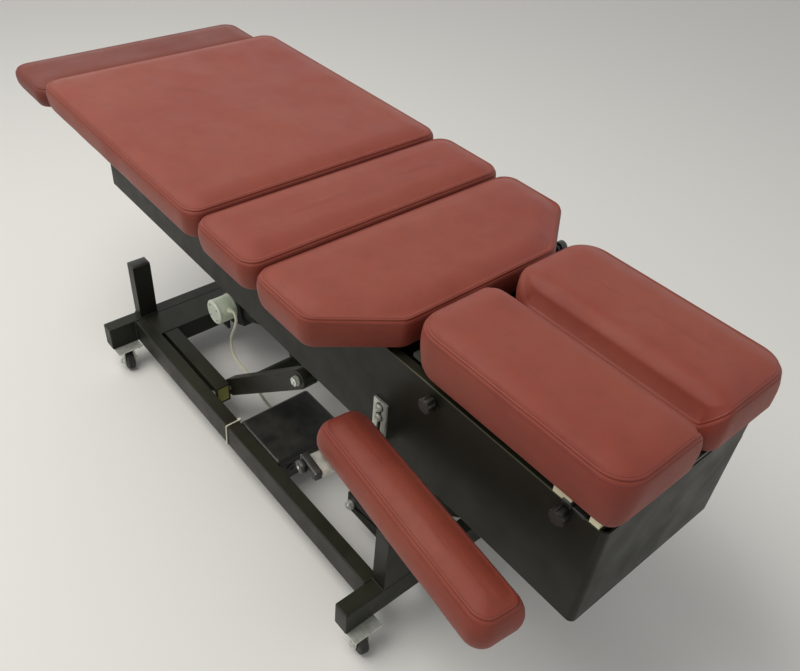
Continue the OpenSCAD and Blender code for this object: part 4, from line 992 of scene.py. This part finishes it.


# Strap bolts: washer, domed head and the socket in it, each with its start from the washer's back; the
# socket is a shallow dark hexagon, painted shade for its depth
WASHER = [(8.6, 0), (8.6, 0.9), (7.2, 1.1)]
DOME = [(7.0, 0.2), (6.4, 1.1), (3.9, 1.3), (3.6, 0.3), (1, 0.3)]
HEX_SOCKET = [(3.7, 0), (3.7, 0.35), (1, 0.35)]
DOME_OUT, HEX_SOCKET_OUT = 4.8, 5


def strap_bolt_faces():
    x = ARMREST_PIN[0]
    b = Build()
    for s in BOTH:
        for z in STRAP_BOLTS_Z:
            b.lathe((x, s * STRAP_FACE, z), (0, s, 0), WASHER)
            b.lathe((x, s * (STRAP_FACE + DOME_OUT), z), (0, s, 0), DOME, mat=1)
            # the socket's floor in dark rubber: painted shade of a deep socket
            b.lathe((x, s * (STRAP_FACE + HEX_SOCKET_OUT), z), (0, s, 0), HEX_SOCKET, sides=6)
    b.make("strap_bolt_faces", [RUBBER, ZINC], "deck")


# Armrests: the board under the cushion, with its middle from the pin and its faces from the underside
BOARD_HALF, BOARD_HALF_WIDTH, BOARD_R, BOARD_MID = 200, 32, 22, 179
BOARD_LOW, BOARD_HIGH = -1, 2
# grip over the carrier's lip: half size and distance out from the pin, and the ribs on it
GRIP, GRIP_OUT = (24.4, 7.5, 9), 70
RIBS, RIB_PITCH, RIB_OUT, RIB_HALF, RIB_R = 7, 6, 7.2, 6, 1.2
# clamp knob
KNOB_OUT, KNOB_BACK, KNOB_LOBES = 76, 8, 6
KNOB = [(6, -2), (6, 2), (10.5, 3), (11.4, 4.4), (11.4, 10), (10.2, 11.8), (7, 12.6), (3, 12.6)]
KNOB_STUD = [(2.8, 12), (2.8, 13.2), (2.2, 13.6)]


def armrest_board(word, pin, turn):
    outline = arcs(oblong(BOARD_HALF, BOARD_HALF_WIDTH), BOARD_R, steps=8)
    line = [pin.xy + (turn @ Vector((BOARD_MID + p.x, p.y, 0))).xy for p in outline]
    b = Build()
    b.slab(line, ARMREST_Z + BOARD_LOW, ARMREST_Z + BOARD_HIGH, 0.8)
    b.make("armrest_board_" + word, FELT, "armrest_" + word)


def armrest_grip(s, word, pin, turn):
    out = turn @ Vector((0, s, 0))
    grip = pin + out * GRIP_OUT
    b = Build()
    b.block(grip - Vector(GRIP), grip + Vector(GRIP), 3.2, segments=4, turn=turn, about=grip)
    for k in range(RIBS):
        rib = grip + turn @ Vector((RIB_PITCH * (k - RIBS // 2), 0, 0)) + out * RIB_OUT
        b.tube([rib - Vector((0, 0, RIB_HALF)), rib + Vector((0, 0, RIB_HALF))], RIB_R, sides=8)
    knob = pin + out * KNOB_OUT - turn @ Vector((KNOB_BACK, 0, 0))
    b.lathe(knob, out, KNOB, sides=48, lobes=KNOB_LOBES, depth=0.07)
    b.lathe(knob, out, KNOB_STUD, sides=14, mat=1)
    b.make("armrest_grip_" + word, [BLACK, ZINC], "armrest_" + word)


# Wheels: half of the section, as (radius, distance from the middle), the grooves, the hub and its spokes
WHEEL_SIDE = [(4.4, -8.6), (6, -8.9), (12, -8.9), (12.6, -8.1), (17.5, -8.1), (18.3, -8.9), (21.6, -9),
              (23.4, -8.2), (24.7, -6.4)]
GROOVES_AT, GROOVE_DEPTH = (-4.0, 0.0, 4.0), 0.8
# across a groove, as (depth, place)
GROOVE = [(0, -1.4), (0, -0.6), (GROOVE_DEPTH, -0.3), (GROOVE_DEPTH, 0.3), (0, 0.6), (0, 1.4)]
HUB_FACE = [(16.8, 8.0), (16.4, 8.7), (9.4, 9.0), (8.6, 9.6), (6.4, 9.9), (5, 9.9)]
SPOKES, SPOKE_R = 6, 0.9
SPOKE_ENDS = ((8.5, 8.8), (15.5, 8.5))


def wheel_section():
    tread = [(WHEEL_R - depth, at + h) for at in GROOVES_AT for depth, h in GROOVE]
    return WHEEL_SIDE + tread + [(r, -h) for r, h in reversed(WHEEL_SIDE)]


def wheel(word, axle, turn):
    across = turn @ Vector((0, 1, 0))
    b = Build()
    b.lathe(axle, across, wheel_section(), sides=56)
    for w in BOTH:
        b.lathe(axle, across * w, HUB_FACE, sides=40, mat=1)
        for g in angles(SPOKES):
            spoke = Vector((math.cos(g), 0, math.sin(g)))
            ends = [axle + turn @ (spoke * r) + across * w * h for r, h in SPOKE_ENDS]
            b.tube(ends, SPOKE_R, sides=8, mat=1)
    obj = b.make("wheel_" + word + "_tyre", [RUBBER, HUB], "wheel_" + word)
    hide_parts("caster_wheel_" + word)


# Forks: rolled edges, axle nuts, ends and washers with their starts from the wheel's middle, and raceway
FORK_EDGE = [(-13, 57), (-13, 50), (-8, 44), (14, 19.5), (17.5, 17.4), (30.5, 17.4), (33, 20), (37, 57)]
FORK_OUT, FORK_EDGE_R = 13.2, 1.25
AXLE_NUT = [(6.6, 0), (7.1, 0.5), (7.1, 3.2), (6.4, 3.9), (3.4, 3.9)]
AXLE_END = [(3, 3.4), (3, 5.2), (2.4, 5.7)]
AXLE_WASHER = [(9, 0), (9, 0.9), (8.5, 1.3)]
AXLE_NUT_OUT, AXLE_WASHER_OUT = 15.8, 12.8
RACEWAY = [(19.2, 56.4), (20.5, 57.4), (20.8, 59), (20.5, 60.6), (19.2, 61.6)]


def fork_edges(word, pivot, axle, turn):
    across = turn @ Vector((0, 1, 0))
    b = Build()
    for w in BOTH:
        edge = [pivot + turn @ Vector((x, w * FORK_OUT, z)) for x, z in FORK_EDGE]
        b.tube(smooth_path(edge, per=4), FORK_EDGE_R, sides=8)
        way = across * w
        b.lathe(axle + way * AXLE_NUT_OUT, way, AXLE_NUT, sides=6, phase=w + pivot.x)
        b.lathe(axle + way * AXLE_NUT_OUT, way, AXLE_END, sides=14)
        b.lathe(axle + way * AXLE_WASHER_OUT, way, AXLE_WASHER, sides=24)
    b.lathe(pivot, (0, 0, 1), RACEWAY, sides=40)
    b.make("fork_" + word + "_edges", ZINC, "fork_" + word, angle=40)


# Bolts under the caster plates, from the swivel's axis
PLATE_BOLT = [(5.6, 0), (6.0, 0.4), (6.0, 3.2), (5.2, 4.0), (3, 4.0)]
PLATE_BOLTS_X, PLATE_BOLTS_Y = (-11, 35), (-24, 24)


def plate_bolts():
    b = Build()
    for plate_x, plate_y, _ in CASTERS.values():
        for x in PLATE_BOLTS_X:
            for y in PLATE_BOLTS_Y:
                b.lathe((plate_x + x, plate_y + y, PLATE_Z), (0, 0, -1), PLATE_BOLT, sides=6, phase=x + y)
    b.make("plate_bolts", ZINC, "base", angle=20)


motor_lead()
pivot_nuts("base_pivot_nuts", "base", BASE_BOLT_FACES, run=0, rise=0, turned=0.3)
pivot_nuts("deck_pivot_nuts", "deck", DECK_BOLT_FACES, run=ARM_RUN, rise=ARM_RISE, turned=0.5)
base_welds()
post_caps()
motor_end_cap()
motor_lead_boot()
box_fittings()
rail_tie()
rim_brackets()
panel_rims()
strap_bolt_faces()
for s, word in SIDES:
    pin = Vector((ARMREST_PIN[0], s * ARMREST_PIN[1], ARMREST_Z))
    turn = yawed(s * ARMREST_YAW)
    armrest_board(word, pin, turn)
    armrest_grip(s, word, pin, turn)
for word, (x, y, yaw) in CASTERS.items():
    pivot, turn = Vector((x, y, 0)), yawed(yaw)
    axle = pivot + turn @ Vector((TRAIL, 0, 0)) + Vector((0, 0, WHEEL_R))
    wheel(word, axle, turn)
    fork_edges(word, pivot, axle, turn)
plate_bolts()


# Floor and light, in metres and watts
FLOOR_HALF = 14
FLOOR_COLOUR = (0.84, 0.83, 0.80, 1)
WORLD_LIGHT, WORLD_SEEN = 0.38, 1.0
LIGHT_AIM_Z = 0.5


def make_floor():
    corners = [(x, y, 0) for x, y in oblong(FLOOR_HALF, FLOOR_HALF)]
    floor = make_object("floor", corners, [(0, 1, 2, 3)], [], smooth=False)
    m = Mat("floor")
    m.link("Base Color", FLOOR_COLOUR)
    m.link("Roughness", 0.9)
    floor.data.materials.append(m.material)


def make_world():
    """A white world, dimmer as a light than to the eye."""
    world = bpy.data.worlds.new("world")
    world.use_nodes = True
    t = world.node_tree
    background = t.nodes["Background"]
    background.inputs["Color"].default_value = (1, 1, 1, 1)
    path = t.nodes.new("ShaderNodeLightPath")
    seen = path.outputs["Is Camera Ray"]
    for kind in ("Is Glossy Ray", "Is Transmission Ray"):
        either = t.nodes.new("ShaderNodeMath")
        either.operation = "MAXIMUM"
        t.links.new(seen, either.inputs[0])
        t.links.new(path.outputs[kind], either.inputs[1])
        seen = either.outputs[0]
    level = t.nodes.new("ShaderNodeMapRange")
    t.links.new(seen, level.inputs["Value"])
    level.inputs["To Min"].default_value = WORLD_LIGHT
    level.inputs["To Max"].default_value = WORLD_SEEN
    t.links.new(level.outputs["Result"], background.inputs["Strength"])
    bpy.context.scene.world = world


def area_light(name, place, aim_x, size, power, colour):
    light = bpy.data.lights.new(name, "AREA")
    light.shape = "RECTANGLE"
    light.size, light.size_y = size
    light.energy = power
    light.color = colour
    obj = add_object(name, light)
    obj.location = place
    aim = Vector((aim_x, 0, LIGHT_AIM_Z))
    obj.rotation_euler = (aim - Vector(place)).to_track_quat("-Z", "Y").to_euler()


make_floor()
make_world()
area_light("key", (-0.7, -1.15, 3.1), aim_x=0.1, size=(2.6, 2.0), power=73, colour=(1.0, 0.975, 0.92))
area_light("fill", (2.6, 1.4, 2.4), aim_x=0, size=(1.8, 1.8), power=5, colour=(0.98, 1.0, 0.95))
bpy.context.scene.view_settings.view_transform = "Standard"
